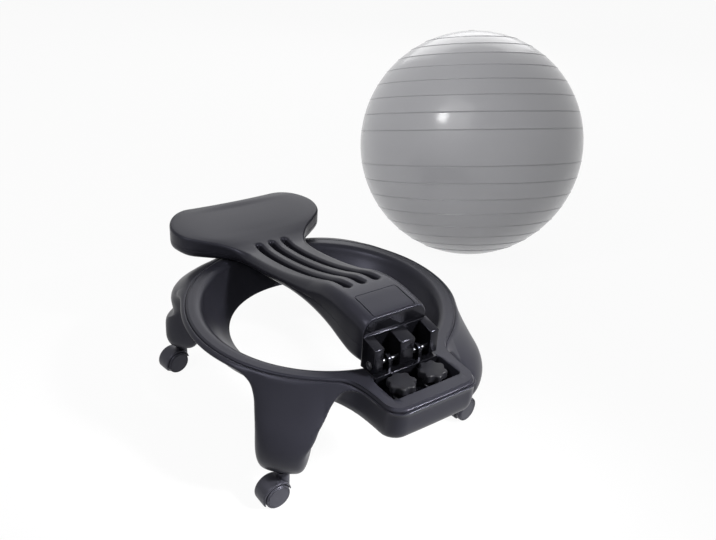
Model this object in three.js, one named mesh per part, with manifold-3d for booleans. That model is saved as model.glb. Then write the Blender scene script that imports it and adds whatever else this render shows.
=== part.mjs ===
import * as THREE from 'three';
import { mergeVertices } from 'three/addons/utils/BufferGeometryUtils.js';
import Module from 'manifold-3d';

const wasm = await Module();
wasm.setup();

// lengths in millimetres, +Z up, +Y towards the box at the back of the seat ring

const degree = Math.PI / 180;

// gaps between pieces
const fitGap = 0.4;
const runGap = 0.7;

// casters
const wheelRadius = 21;
const wheelWidth = 12.5;
const wheelRound = 3;
const wheelDishRadius = 14;
const wheelDishDepth = 1.6;
const axleRadius = 3;
const casterWebWidth = 9;
const casterTrail = 18;
const casterDiscProud = 2.5;
const casterHoodThickness = 2.4;
const casterHoodGap = 1.6;
const casterNeckRadius = 10;
const casterHeadroom = 18;
const casterNeckGap = 7;
const neckRoom = 5;
const stemRadius = 5.5;
const stemLength = 34;
const socketRadius = 11;
const socketFlangeRadius = 15;
const socketFlangeThickness = 2.2;
const socketLength = 36;
const hoodFrontAngle = 15 * degree;
const hoodBackAngle = 200 * degree;
const casterTurns = [2, 187, 187, 10].map((turn) => turn * degree);

// seat ring
const legBottomHeight = 2 * wheelRadius + casterHeadroom;
const legHeight = 157;
const ringTopHeight = legBottomHeight + legHeight;
const ringInnerRadius = 210;
const ringRimWidth = 21;
const ringBulge = 12;
const ringDepth = 53;
const ringEdgeRadius = ringInnerRadius + ringRimWidth;
const ringEdgeRound = 3;
const bowlInset = 50;
const bowlDepth = 59;
const bowlSag = 1.6;
const bowlLowerRadius = ringInnerRadius - bowlInset;
const bowlLowerHeight = ringTopHeight - bowlDepth;
const frameWall = 5;

// legs
const rearLegOutset = 24;
const rearLegAngle = 45.2 * degree;
const frontLegOutset = 34;
const frontLegAngle = 51.6 * degree;
const rearLegReach = ringEdgeRadius + rearLegOutset;
const frontLegReach = ringEdgeRadius + frontLegOutset;
const frontCasterOutset = 15;
const legHalfDepth = 38;
const legHalfAngle = 10.1 * degree;
const legFlareAngle = 10 * degree;
const legBoxFlareAngle = 13 * degree;
const legSoftAngle = 0.95 * degree;
const legFlareSoftAngle = 1.6 * degree;
const legSolidHeight = 38;

// knobs
const knobRadius = 23.4;
const knobSpacing = 12.2;
const knobLobeDepth = 3.6;
const knobLobes = 7;
const knobHeadHeight = 13;
const knobRise = 4;
const knobHubRadius = 11;
const knobRound = 2.5;
const studRadius = 4;
const studReachBelow = 15;
const washerRadius = 12;
const washerThickness = 1.6;
const insertRadius = 6.5;
const insertLength = 18;

// box at the back with its pit
const pitSideGap = 10.6;
const pitFrontRim = 4;
const pitRearRim = 21;
const pitSideRim = 16.5;
const pitDepth = 26;
const pitCornerRound = 5;
const pitFloorThickness = 24;
const boxDepth = 58;
const boxCorner = 24;
const bracketThickness = 2;
const pitEndGap = fitGap + bracketThickness + runGap;
const knobOffset = knobRadius + knobSpacing / 2;
const pitHalfWidth = knobOffset + knobRadius + pitSideGap;
const pitFrontReach = ringEdgeRadius + pitFrontRim;
const knobReach = pitFrontReach + pitEndGap + knobRadius;
const pitRearReach = knobReach + knobRadius + pitEndGap;
const boxHalfWidth = pitHalfWidth + pitSideRim;
const boxReach = pitRearReach + pitRearRim;
const knobTopHeight = ringTopHeight + knobRise;

// hinge and the foot of the backrest
const hingeInset = 9;
const hingeRise = 17;
const pinRadius = 4;
const footSideGap = 2.8;
const footPlateThickness = 4;
const footSideFingerWidth = 16.7;
const footMiddleFingerWidth = 27;
const footKnuckleRadius = 13.6;
const footTipInset = 2.6;
const footTopShare = 0.617;
const footTipTopShare = 0.549;
const footPlugInset = 16.7;
const footPlugHalfHeight = 13;
const footPlugLength = 24;
const footScrewOffset = 24;
const bracketSideGap = 3.5;
const earThickness = 7;
const earRadius = 9.5;
const clipRadius = 7;
const clipThickness = 1.6;
const hingeReach = ringEdgeRadius - hingeInset;
const hingeHeight = ringTopHeight + hingeRise;
const footHalfWidth = pitHalfWidth - footSideGap;
const footTipReach = hingeReach + footKnuckleRadius - footTipInset;
const footPlugHalfWidth = footHalfWidth - footPlugInset;
const bracketHalfWidth = pitHalfWidth - bracketSideGap;
const earOffset = (footHalfWidth - footSideFingerWidth + footMiddleFingerWidth / 2) / 2;

// backrest
const restInset = 23;
const restLength = 559;
const restHalfSpan = 160;
const restRise = 88;
const restWall = 3;
const restCornerPower = 0.36;
const slotWidth = 8;
const panelDepth = 0.8;
const panelGroove = 1.4;
const restEndBow = 5;
const postRadius = 6;
const restBowShare = 0.9;
const partingShare = 0.42;
const slotSpacingShare = 0.17;
const slotStartShare = 0.16;
const slotEndShare = 0.676;
const panelHalfShare = 0.248;
const panelStartShare = 0.104;
const screwPadShares = [0.625, 0.875];
const screwStemShares = [0.2875, 0.249];
const restStart = hingeReach - restInset;
const restUnder = ringTopHeight + runGap;
const footTopHeight = restUnder + restRise * footTopShare;
const footTipTopHeight = restUnder + restRise * footTipTopShare;
const screwRadius = 2.5;
const screwHeadRadius = 4.5;
const screwHeadThickness = 2.6;

// ball
const ballRadius = 280;
const ballWall = 3;
const ballSettle = 2;
const ballAcross = -689;
const ballBack = -376;
const ballFacing = -135.5 * degree;
const ballLeanAway = 16.3 * degree;
const ballLeanSide = -7.3 * degree;
const ballRidge = 0.8;
const ballRidgeHalfWidth = 3;
const ballRidgePitch = 8.2 * degree;
const ballRidgeCount = 8;
const plugHeadRadius = 9;
const plugHeadThickness = 2;
const plugStemRadius = 4.5;
const plugStemLength = 16;

const group = new THREE.Group();
group.name = 'balance_ball_chair';

const satinBlack = { color: 0x34353a, roughness: 0.5, metalness: 0 };
const glossBlack = { color: 0x1c1d20, roughness: 0.22, metalness: 0 };
const wheelBlack = { color: 0x2b2c30, roughness: 0.42, metalness: 0 };
const steel = { color: 0xa9abaf, roughness: 0.35, metalness: 1 };
const brass = { color: 0xb89a58, roughness: 0.4, metalness: 1 };
const ballGrey = { color: 0xa0a1a4, roughness: 0.45, metalness: 0 };
const plugWhite = { color: 0xd9d9d6, roughness: 0.5, metalness: 0 };

function solidOf(geometry) {
  const plain = geometry.clone();
  plain.deleteAttribute('normal');
  plain.deleteAttribute('uv');
  const welded = mergeVertices(plain);
  const vertProperties = Float32Array.from(welded.attributes.position.array);
  const triVerts = Uint32Array.from(welded.index.array);
  return new wasm.Manifold(new wasm.Mesh({ numProp: 3, vertProperties, triVerts }));
}

function geometryOf(solid) {
  const mesh = solid.getMesh();
  const geometry = new THREE.BufferGeometry();
  geometry.setAttribute('position', new THREE.Float32BufferAttribute(mesh.vertProperties, 3));
  geometry.setIndex(Array.from(mesh.triVerts));
  geometry.computeVertexNormals();
  return geometry;
}

function cut(geometry, ...tools) {
  let solid = solidOf(geometry);
  for (const tool of tools) solid = solid.subtract(solidOf(tool));
  return geometryOf(solid);
}

function join(geometry, ...others) {
  let solid = solidOf(geometry);
  for (const other of others) solid = solid.add(solidOf(other));
  return geometryOf(solid);
}

function common(geometry, other) {
  return geometryOf(solidOf(geometry).intersect(solidOf(other)));
}

function add(name, geometry, look) {
  const mesh = new THREE.Mesh(geometry, new THREE.MeshStandardMaterial(look));
  mesh.name = name;
  group.add(mesh);
}

function moved(geometry, x, y, z) {
  return geometry.clone().translate(x, y, z);
}

function block(x0, x1, y0, y1, z0, z1) {
  const box = new THREE.BoxGeometry(x1 - x0, y1 - y0, z1 - z0);
  return box.translate((x0 + x1) / 2, (y0 + y1) / 2, (z0 + z1) / 2);
}

function turned(profile, segments) {
  const points = profile.map(([r, z]) => new THREE.Vector2(r, z));
  return new THREE.LatheGeometry(points, segments).rotateX(Math.PI / 2);
}

function extruded(shape, depth, curveSegments) {
  return new THREE.ExtrudeGeometry(shape, { depth, bevelEnabled: false, curveSegments });
}

function rod(radius, z0, z1, segments) {
  return turned([[0, z0], [radius, z0], [radius, z1], [0, z1]], segments);
}

function sleeve(inner, outer, z0, z1, segments) {
  return turned([[inner, z0], [outer, z0], [outer, z1], [inner, z1], [inner, z0]], segments);
}

function across(geometry) {
  return geometry.rotateY(Math.PI / 2);
}

// rings of points joined into one closed skin
function ringLoft(rings, closedAround, capped) {
  const count = rings[0].length;
  const positions = rings.flat(2);
  const faces = [];
  const last = closedAround ? rings.length : rings.length - 1;
  for (let i = 0; i < last; i += 1) {
    const a = i * count;
    const b = ((i + 1) % rings.length) * count;
    for (let j = 0; j < count; j += 1) {
      const k = (j + 1) % count;
      faces.push(a + j, b + j, b + k, a + j, b + k, a + k);
    }
  }
  if (capped) {
    for (const [ringIndex, flip] of [[0, false], [rings.length - 1, true]]) {
      const ring = rings[ringIndex];
      const centre = [0, 1, 2].map((axis) => ring.reduce((sum, p) => sum + p[axis], 0) / count);
      positions.push(...centre);
      const hub = positions.length / 3 - 1;
      const start = ringIndex * count;
      for (let j = 0; j < count; j += 1) {
        const k = (j + 1) % count;
        if (flip) faces.push(hub, start + k, start + j);
        else faces.push(hub, start + j, start + k);
      }
    }
  }
  const geometry = new THREE.BufferGeometry();
  geometry.setAttribute('position', new THREE.Float32BufferAttribute(positions, 3));
  geometry.setIndex(faces);
  const solid = solidOf(geometry);
  if (solid.volume() < 0) {
    for (let i = 0; i < faces.length; i += 3) [faces[i], faces[i + 1]] = [faces[i + 1], faces[i]];
    geometry.setIndex(faces);
  }
  return geometry;
}

function lerp(a, b, t) {
  return a + (b - a) * t;
}

function sShape(t) {
  const u = Math.min(1, Math.max(0, t));
  return u * u * (3 - 2 * u);
}

const outlinePower = 8;

// distance along the ray (across, up) to a rectangle with one rounded corner
function roundedReach(across, up, half, end, corner) {
  const toSide = across * (end - corner) < up * half ? Infinity : half / across;
  const toEnd = up * (half - corner) < across * end ? Infinity : end / up;
  if (Math.min(toSide, toEnd) < Infinity) return Math.min(toSide, toEnd);
  const along = across * (half - corner) + up * (end - corner);
  return along + Math.sqrt(along ** 2 - (half - corner) ** 2 - (end - corner) ** 2 + corner ** 2);
}

// plan outline of the upper edge: round ring flowing into the box
function edgeReach(angle, inset) {
  const up = Math.sin(angle);
  const ring = ringEdgeRadius - inset;
  if (up <= 0) return ring;
  const across = Math.abs(Math.cos(angle));
  const box = roundedReach(across, up, boxHalfWidth - inset, boxReach - inset, boxCorner - inset);
  return (ring ** outlinePower + box ** outlinePower) ** (1 / outlinePower);
}

// how far a leg has grown at an angle away from its middle; it widens towards the shoulder,
// and a rear leg most on the side of the box
function legWeight(turn, rear, height, narrowing) {
  const flare = rear && turn > 0 ? legBoxFlareAngle * height : legFlareAngle * height * height;
  const half = legHalfAngle + flare - narrowing;
  const soft = legSoftAngle + legFlareSoftAngle * height;
  const top = 1 / (1 + Math.exp(-half / soft));
  return 1 / (1 + Math.exp((Math.abs(turn) - half) / soft)) / top;
}

// how far the lower part of the section is box: it spreads further round than the outline does
const boxSpreadAngle = 45 * degree;
const boxFullAngle = 26 * degree;
const boxGrowth = 3;

function boxWeights(angle, edge) {
  const upper = sShape((edge - ringEdgeRadius) / (boxReach - ringEdgeRadius) * boxGrowth);
  const off = Math.abs(Math.atan2(Math.cos(angle), Math.sin(angle)));
  return [upper, Math.max(upper, sShape((boxSpreadAngle - off) / (boxSpreadAngle - boxFullAngle)))];
}

// the section is shallower in the arch between a rear leg and the box
const archAngle = 30 * degree;
const archHalfAngle = 7 * degree;
const archShare = 0.25;

function archRise(angle) {
  const off = Math.abs(Math.atan2(Math.cos(angle), Math.sin(angle)));
  return archShare * Math.exp(-(((off - archAngle) / archHalfAngle) ** 2));
}

// section chains: shares of the width and of the depth, from the upper edge down and back to the bowl
const ringOutShares = [0.58, 0.79, 0.58, 0.083, -0.5, -1.17, -1.83];
const ringOutDropShares = [0.057, 0.132, 0.198, 0.311, 0.443, 0.604, 0.774];
const ringInShares = [0.394, 0.49, 0.58, 0.67, 0.76, 0.85, 0.92, 0.97];
const ringInDropShares = [0.94, 0.995, 1.03, 1.055, 1.075, 1.09, 1.1, 1.11];
const boxOutShares = [0.25, 0.5, 0.5, 0.36, 0.28, 0.16, -0.16];
const boxOutDropShares = [0.04, 0.12, 0.15, 0.165, 0.6, 0.78, 0.92];
const boxInShares = [0.06, 0.2, 0.36, 0.52, 0.68, 0.82, 0.92, 0.98];
const rearOutShares = [0.1, 0.2, 0.34, 0.58, 0.86, 0.99, 0.97];
const rearOutDropShares = [0.03, 0.09, 0.17, 0.3, 0.46, 0.62, 0.77];
const rearFootShares = [0.76, 0.46, 0, -0.5, -0.84, -1.02, -1.25, -2.3];
const rearFootDropShares = [0.885, 0.965, 0.99, 0.975, 0.91, 0.7, 0.51, 0.395];
const frontOutShares = [0.264, 0.458, 0.625, 0.722, 0.708, 0.903, 0.938];
const frontOutDropShares = [0.032, 0.089, 0.159, 0.287, 0.516, 0.592, 0.77];
const frontFootShares = [0.84, 0.62, 0.1, -0.5, -0.84, -1.02, -1.25, -2.3];
const frontFootDropShares = [0.89, 0.968, 0.99, 0.975, 0.91, 0.7, 0.51, 0.395];
const bowlShares = [0.36, 0.72];

function sectionAt(angle, inset) {
  const edge = edgeReach(angle, inset);
  const [upperBox, lowerBox] = boxWeights(angle, edge);
  const [turn, reach, rear] = nearestLeg(angle);
  const [outShares, outDropShares, footShares, footDropShares] = rear
    ? [rearOutShares, rearOutDropShares, rearFootShares, rearFootDropShares]
    : [frontOutShares, frontOutDropShares, frontFootShares, frontFootDropShares];
  const narrowing = inset / reach;
  const rise = archRise(angle);
  const legOut = reach + legHalfDepth - ringEdgeRadius;
  const inward = edge - bowlLowerRadius;
  const points = [];
  for (let i = 0; i < ringOutShares.length; i += 1) {
    const ring = [edge + ringBulge * ringOutShares[i], (1 - rise) * ringDepth * ringOutDropShares[i]];
    const box = [edge + ringBulge * boxOutShares[i], (1 - rise) * boxDepth * boxOutDropShares[i]];
    const leg = [ringEdgeRadius + legOut * outShares[i], legHeight * outDropShares[i]];
    const down = i / (ringOutShares.length - 1);
    const boxWeight = lerp(upperBox, lowerBox, sShape(down));
    points.push(mixed(ring, box, leg, boxWeight, legWeight(turn, rear, 1 - down, narrowing)));
  }
  for (let i = 0; i < ringInShares.length; i += 1) {
    const [ringRise, boxRise] = [ringInShares[i], boxInShares[i]].map((share) => rise * (1 - share * share));
    const ring = [edge - inward * ringInShares[i], (1 - ringRise) * ringDepth * ringInDropShares[i]];
    const box = [edge - inward * boxInShares[i], (1 - boxRise) * boxDepth];
    const leg = [reach + legHalfDepth * footShares[i], legHeight * footDropShares[i]];
    points.push(mixed(ring, box, leg, lowerBox, legWeight(turn, rear, 0, narrowing)));
  }
  points.push([bowlLowerRadius, bowlLowerHeight]);
  for (const share of bowlShares) {
    const bulge = Math.sin(share * Math.PI) * bowlSag;
    points.push([bowlLowerRadius + bowlInset * share + bulge, bowlLowerHeight + bowlDepth * share - bulge]);
  }
  points.push([ringInnerRadius, ringTopHeight - ringEdgeRound]);
  points.push([ringInnerRadius + ringEdgeRound, ringTopHeight]);
  points.push([edge - ringEdgeRound, ringTopHeight]);
  return points;
}

function nearestLeg(angle) {
  const rear = Math.sin(angle) > 0;
  const middle = rear ? rearLegAngle : -frontLegAngle;
  const folded = Math.atan2(Math.sin(angle), Math.abs(Math.cos(angle)));
  return [folded - middle, rear ? rearLegReach : frontLegReach, rear];
}

function mixed(ring, box, leg, boxWeight, weight) {
  const [r, drop] = [0, 1].map((k) => lerp(lerp(ring[k], box[k], boxWeight), leg[k], weight));
  return [r, ringTopHeight - drop];
}

// the same section moved inwards by the wall thickness; legs stay solid at the foot
function hollowAt(angle) {
  const points = sectionAt(angle, frameWall);
  const floor = legBottomHeight + legSolidHeight;
  const kept = [1, 3, 4, 5, 7, 9, 11, 13, 14, 16, 19];
  return kept.map((i) => {
    const a = points[(i + points.length - 1) % points.length];
    const b = points[(i + 1) % points.length];
    const along = Math.hypot(b[0] - a[0], b[1] - a[1]);
    const r = points[i][0] + (b[1] - a[1]) / along * frameWall;
    const z = points[i][1] - (b[0] - a[0]) / along * frameWall;
    return [r, Math.max(z, floor)];
  });
}

const legTurns = [0, 5.6, 8.3, 10.1, 11.9, 14.6, 18.8, 26, 34];
const boxTurns = [0, 6, 10.3, 11.7, 13, 14.3, 15.7, 18.6, 22.6];
const legPlaces = [[1, 1], [-1, 1], [-1, -1], [1, -1]].map(([sideX, sideY]) => {
  const reach = sideY > 0 ? rearLegReach : frontLegReach + frontCasterOutset;
  const angle = sideY > 0 ? rearLegAngle : frontLegAngle;
  return [sideX * reach * Math.cos(angle), sideY * reach * Math.sin(angle)];
});
const angles = [0, Math.PI];
for (const [x, y] of legPlaces) {
  const middle = Math.atan2(y, x);
  for (const turn of legTurns) angles.push(middle + turn * degree, middle - turn * degree);
}
for (const turn of boxTurns) angles.push((90 + turn) * degree, (90 - turn) * degree);
angles.push(270 * degree);
const leastStep = 0.7 * degree;
const roundAngles = angles.map((angle) => (angle + 2 * Math.PI) % (2 * Math.PI))
  .sort((a, b) => a - b)
  .filter((angle, i, all) => i === 0 || angle - all[i - 1] > leastStep);

function spun(section) {
  return roundAngles.map((angle) => section(angle)
    .map(([r, z]) => [r * Math.cos(angle), r * Math.sin(angle), z]));
}

function roundedBlock(halfWidth, y0, y1, corner, z0, z1) {
  const shape = new THREE.Shape();
  shape.moveTo(halfWidth, y0 + corner);
  shape.lineTo(halfWidth, y1 - corner);
  shape.absarc(halfWidth - corner, y1 - corner, corner, 0, Math.PI / 2, false);
  shape.absarc(corner - halfWidth, y1 - corner, corner, Math.PI / 2, Math.PI, false);
  shape.absarc(corner - halfWidth, y0 + corner, corner, Math.PI, Math.PI * 1.5, false);
  shape.absarc(halfWidth - corner, y0 + corner, corner, Math.PI * 1.5, Math.PI * 2, false);
  return extruded(shape, z1 - z0, 3).translate(0, 0, z0);
}

const pitFloorHeight = ringTopHeight - pitDepth;
const legInsideHeight = legBottomHeight + legSolidHeight;

// base frame: one hollow moulding, its hollow open through the four caster bores
const aboveAll = 2 * ringTopHeight;
const hollow = cut(
  ringLoft(spun(hollowAt), true, false),
  block(-boxReach, boxReach, pitFrontReach - frameWall, 2 * boxReach,
    pitFloorHeight - pitFloorThickness, aboveAll),
);
const baseTools = [hollow,
  roundedBlock(pitHalfWidth, pitFrontReach, pitRearReach, pitCornerRound, pitFloorHeight, aboveAll)];
for (const [x, y] of legPlaces) {
  baseTools.push(moved(rod(socketRadius + fitGap, 0, legInsideHeight + frameWall, 16), x, y, 0));
}
for (const side of [-1, 1]) {
  const bore = rod(insertRadius + fitGap, pitFloorHeight - insertLength - 2 * fitGap, aboveAll, 20);
  baseTools.push(moved(bore, side * knobOffset, knobReach, 0));
}
add('base_frame', cut(ringLoft(spun((a) => sectionAt(a, 0)), true, false), ...baseTools), satinBlack);

// casters
function wheel() {
  const bore = axleRadius + fitGap;
  return turned([[bore, 0], [wheelRadius - wheelRound, 0], [wheelRadius, wheelRound],
    [wheelRadius, wheelWidth - wheelRound], [wheelRadius - wheelRound, wheelWidth],
    [wheelDishRadius, wheelWidth], [wheelDishRadius, wheelWidth - wheelDishDepth],
    [bore, wheelWidth - wheelDishDepth], [bore, 0]], 18);
}

const wheelInner = casterWebWidth / 2 + runGap;
const wheelOuter = wheelInner + wheelWidth;
const wellRadius = wheelRadius + casterHoodGap;
const hoodRadius = wellRadius + casterHoodThickness;
const hoodHalfWidth = wheelOuter - casterDiscProud;
const casterTopHeight = legBottomHeight - casterNeckGap;
const boreBottom = wheelRadius + Math.sqrt(hoodRadius ** 2 - (casterTrail - stemRadius) ** 2) + fitGap;

function hood() {
  const shape = new THREE.Shape();
  shape.absarc(0, 0, hoodRadius, hoodFrontAngle, hoodBackAngle, false);
  shape.absarc(0, 0, wellRadius, hoodBackAngle, hoodFrontAngle, true);
  const shroud = extruded(shape, 2 * hoodHalfWidth, 8);
  shroud.translate(0, 0, -hoodHalfWidth).rotateX(Math.PI / 2).translate(-casterTrail, 0, wheelRadius);
  const web = rod(wellRadius + casterHoodThickness / 2, -casterWebWidth / 2, casterWebWidth / 2, 12);
  web.rotateX(Math.PI / 2).translate(-casterTrail, 0, wheelRadius);
  const neck = rod(casterNeckRadius, wheelRadius, casterTopHeight, 12);
  const well = rod(wellRadius, 0, hoodRadius, 14);
  const wells = [-1, 1].map((side) => {
    const start = side > 0 ? casterWebWidth / 2 : -casterWebWidth / 2 - hoodRadius;
    return moved(well.clone().rotateX(-Math.PI / 2), -casterTrail, start, wheelRadius);
  });
  const below = block(-hoodRadius - casterTrail, hoodRadius, -hoodRadius, hoodRadius, -wheelRadius, runGap);
  const axle = rod(axleRadius + fitGap, -hoodRadius, hoodRadius, 10);
  axle.rotateX(Math.PI / 2).translate(-casterTrail, 0, wheelRadius);
  const stem = rod(stemRadius + fitGap, boreBottom, casterTopHeight + neckRoom, 12);
  return cut(join(cut(join(shroud, neck), ...wells), cut(web, below)), axle, stem);
}

legPlaces.forEach(([x, y], i) => {
  const n = i + 1;
  const turn = casterTurns[i];
  const place = (geometry) => geometry.rotateZ(turn + Math.PI).translate(x, y, 0);
  const flangeTop = legBottomHeight - fitGap;
  const flangeBottom = flangeTop - socketFlangeThickness;
  const bore = stemRadius + fitGap;
  const socket = turned([[bore, flangeBottom], [socketFlangeRadius, flangeBottom],
    [socketFlangeRadius, flangeTop], [socketRadius, flangeTop],
    [socketRadius, flangeTop + socketLength], [bore, flangeTop + socketLength],
    [bore, flangeBottom]], 16);
  add(`caster_${n}_socket`, moved(socket, x, y, 0), wheelBlack);
  const collarBottom = casterTopHeight + fitGap;
  const collarTop = flangeBottom - runGap;
  const stemBottom = boreBottom + fitGap;
  const stem = turned([[0, stemBottom], [stemRadius, stemBottom], [stemRadius, collarBottom],
    [casterNeckRadius, collarBottom], [casterNeckRadius, collarTop], [stemRadius, collarTop],
    [stemRadius, flangeBottom + stemLength], [0, flangeBottom + stemLength]], 12);
  add(`caster_${n}_stem`, moved(stem, x, y, 0), steel);
  add(`caster_${n}_hood`, place(hood()), wheelBlack);
  const axle = rod(axleRadius, runGap - wheelOuter, wheelOuter - runGap, 10).rotateX(Math.PI / 2);
  add(`caster_${n}_axle`, place(axle.translate(-casterTrail, 0, wheelRadius)), steel);
  for (const [side, label] of [[1, 'left'], [-1, 'right']]) {
    const one = wheel().rotateX(-side * Math.PI / 2);
    one.translate(-casterTrail, side * wheelInner, wheelRadius);
    add(`caster_${n}_wheel_${label}`, place(one), wheelBlack);
  }
});

// hinge bracket: plate on the pit floor, riser, flange over the ring top and two ears
const bracketTop = ringTopHeight + fitGap + bracketThickness;
const riserFront = pitFrontReach + fitGap;
const bracketRear = pitRearReach - 2 * fitGap;
const plateBottom = pitFloorHeight + fitGap;
const plateTop = plateBottom + bracketThickness;
const flangeFront = hingeReach - earRadius;
const bracketParts = [
  block(-bracketHalfWidth, bracketHalfWidth, riserFront, bracketRear, plateBottom, plateTop),
  block(-bracketHalfWidth, bracketHalfWidth, riserFront, riserFront + bracketThickness, plateBottom, bracketTop),
  block(-bracketHalfWidth, bracketHalfWidth, flangeFront, riserFront + bracketThickness,
    bracketTop - bracketThickness, bracketTop),
];
const pinBore = across(rod(pinRadius + fitGap, -2 * footHalfWidth, 2 * footHalfWidth, 14));
pinBore.translate(0, hingeReach, hingeHeight);
for (const side of [-1, 1]) {
  const x0 = side * earOffset - earThickness / 2;
  const x1 = x0 + earThickness;
  bracketParts.push(block(x0, x1, hingeReach - earRadius, hingeReach + earRadius,
    bracketTop - fitGap, hingeHeight));
  bracketParts.push(across(rod(earRadius, x0, x1, 18)).translate(0, hingeReach, hingeHeight));
}
const studHoles = [-1, 1].map((side) => moved(rod(studRadius + fitGap, 0, bracketTop, 14),
  side * knobOffset, knobReach, 0));
add('hinge_bracket', cut(join(...bracketParts), pinBore, ...studHoles), glossBlack);

const pinHalf = footHalfWidth + 2 * fitGap + clipThickness;
add('hinge_pin', across(rod(pinRadius, -pinHalf, pinHalf, 14)).translate(0, hingeReach, hingeHeight), steel);
for (const [side, label] of [[1, 'left'], [-1, 'right']]) {
  const start = side > 0 ? footHalfWidth + fitGap : -footHalfWidth - fitGap - clipThickness;
  const clip = across(sleeve(pinRadius + fitGap, clipRadius, start, start + clipThickness, 14));
  add(`pin_clip_${label}`, clip.translate(0, hingeReach, hingeHeight), steel);
}

// star knobs with studs, washers and threaded inserts
function knob() {
  const shape = new THREE.Shape();
  const steps = knobLobes * 5;
  const reach = knobRadius - knobRound - knobLobeDepth / 2;
  for (let i = 0; i < steps; i += 1) {
    const angle = i / steps * 2 * Math.PI;
    const r = reach + knobLobeDepth / 2 * Math.cos(knobLobes * angle);
    if (i === 0) shape.moveTo(r * Math.cos(angle), r * Math.sin(angle));
    else shape.lineTo(r * Math.cos(angle), r * Math.sin(angle));
  }
  shape.closePath();
  const head = new THREE.ExtrudeGeometry(shape, {
    depth: knobHeadHeight - 2 * knobRound, bevelThickness: knobRound, bevelSize: knobRound, bevelSegments: 1,
  });
  head.translate(0, 0, knobTopHeight - knobHeadHeight + knobRound);
  const hub = rod(knobHubRadius, hubBottom, knobTopHeight - knobHeadHeight / 2, 14);
  return cut(join(head, hub), rod(studRadius + fitGap, 0, knobTopHeight - 2 * knobRound, 16));
}

const washerBottom = plateTop + fitGap;
const hubBottom = washerBottom + washerThickness + fitGap;
for (const [side, label] of [[1, 'left'], [-1, 'right']]) {
  const x = side * knobOffset;
  add(`knob_${label}`, moved(knob(), x, knobReach, 0), glossBlack);
  const studTop = knobTopHeight - 2 * knobRound - fitGap;
  const stud = rod(studRadius, pitFloorHeight - studReachBelow, studTop, 16);
  add(`knob_stud_${label}`, moved(stud, x, knobReach, 0), steel);
  const washer = sleeve(studRadius + fitGap, washerRadius, washerBottom, washerBottom + washerThickness, 16);
  add(`knob_washer_${label}`, moved(washer, x, knobReach, 0), steel);
  const insert = sleeve(studRadius + fitGap, insertRadius, pitFloorHeight - insertLength, pitFloorHeight, 14);
  add(`threaded_insert_${label}`, moved(insert, x, knobReach, 0), brass);
}

// backrest: stations along its length as [along, half width, top, underside] shares
const restStationShares = [
  [0, 0.372, 0.895, 0.04], [0.014, 0.38, 0.918, 0.035], [0.056, 0.386, 0.955, 0.034],
  [0.1, 0.39, 0.985, 0.11], [0.154, 0.386, 0.985, 0.2], [0.21, 0.38, 0.93, 0.25],
  [0.285, 0.375, 0.76, 0.27], [0.365, 0.375, 0.6, 0.245], [0.45, 0.38, 0.467, 0.178],
  [0.535, 0.388, 0.365, 0.095], [0.6, 0.402, 0.312, 0.045], [0.645, 0.436, 0.292, 0.018],
  [0.685, 0.524, 0.292, 0.008], [0.722, 0.645, 0.308, 0.008], [0.755, 0.775, 0.33, 0.01],
  [0.8, 0.905, 0.365, 0.026], [0.86, 0.99, 0.42, 0.062], [0.915, 0.99, 0.465, 0.098],
  [0.952, 0.905, 0.49, 0.125], [0.98, 0.75, 0.48, 0.175], [0.997, 0.47, 0.405, 0.29],
];
function stationHeight(share) {
  return restUnder + restRise * share;
}

function restAt(y) {
  const along = (restStart - y) / restLength;
  const last = restStationShares.length - 1;
  let i = 0;
  while (i < last - 1 && restStationShares[i + 1][0] < along) i += 1;
  const [a, b] = [restStationShares[i], restStationShares[i + 1]];
  const t = (along - a[0]) / (b[0] - a[0]);
  return { half: lerp(a[1], b[1], t) * restHalfSpan,
    top: stationHeight(lerp(a[2], b[2], t)), under: stationHeight(lerp(a[3], b[3], t)) };
}

function restRings(inset, count) {
  return restStationShares.map(([along, half, top, under], index) => {
    const edge = index === 0 ? -inset : index === restStationShares.length - 1 ? inset : 0;
    const w = half * restHalfSpan - inset;
    const high = stationHeight(top) - inset;
    const low = stationHeight(under) + inset;
    const mid = (high + low) / 2;
    const rise = Math.max((high - low) / 2, fitGap);
    return Array.from({ length: count }, (_, j) => {
      const turn = (j + 0.5) / count * 2 * Math.PI;
      const [c, s] = [Math.cos(turn), Math.sin(turn)];
      const x = w * Math.sign(c) * Math.abs(c) ** restCornerPower;
      const z = mid + rise * Math.sign(s) * Math.abs(s) ** restCornerPower;
      const bow = restEndBow * Math.max(0, along - restBowShare) / (1 - restBowShare) * (1 - (x / w) ** 2);
      return [x, restStart - along * restLength + edge + bow, z];
    });
  });
}

function partingSlab(upper) {
  const ends = [2 * restStart, ...restStationShares.map(([along]) => restStart - along * restLength),
    restStart - 2 * restLength];
  const rings = ends.map((y) => {
    const { top, under } = restAt(Math.min(restStart, Math.max(restStart - restLength, y)));
    const split = lerp(under, top, partingShare) + (upper ? fitGap / 2 : -fitGap / 2);
    const far = upper ? split + 2 * restHalfSpan : split - 2 * restHalfSpan;
    const side = 2 * restHalfSpan;
    return [[side, y, split], [side, y, far], [-side, y, far], [-side, y, split]];
  });
  return ringLoft(rings, false, true);
}

function slotBlock(x, grow) {
  const r = slotWidth / 2 + grow;
  const shape = new THREE.Shape();
  shape.absarc(0, restStart - restLength * slotStartShare, r, 0, Math.PI, false);
  shape.absarc(0, restStart - restLength * slotEndShare, r, Math.PI, 2 * Math.PI, false);
  return extruded(shape, aboveAll, 4).translate(x, 0, 0);
}

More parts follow.
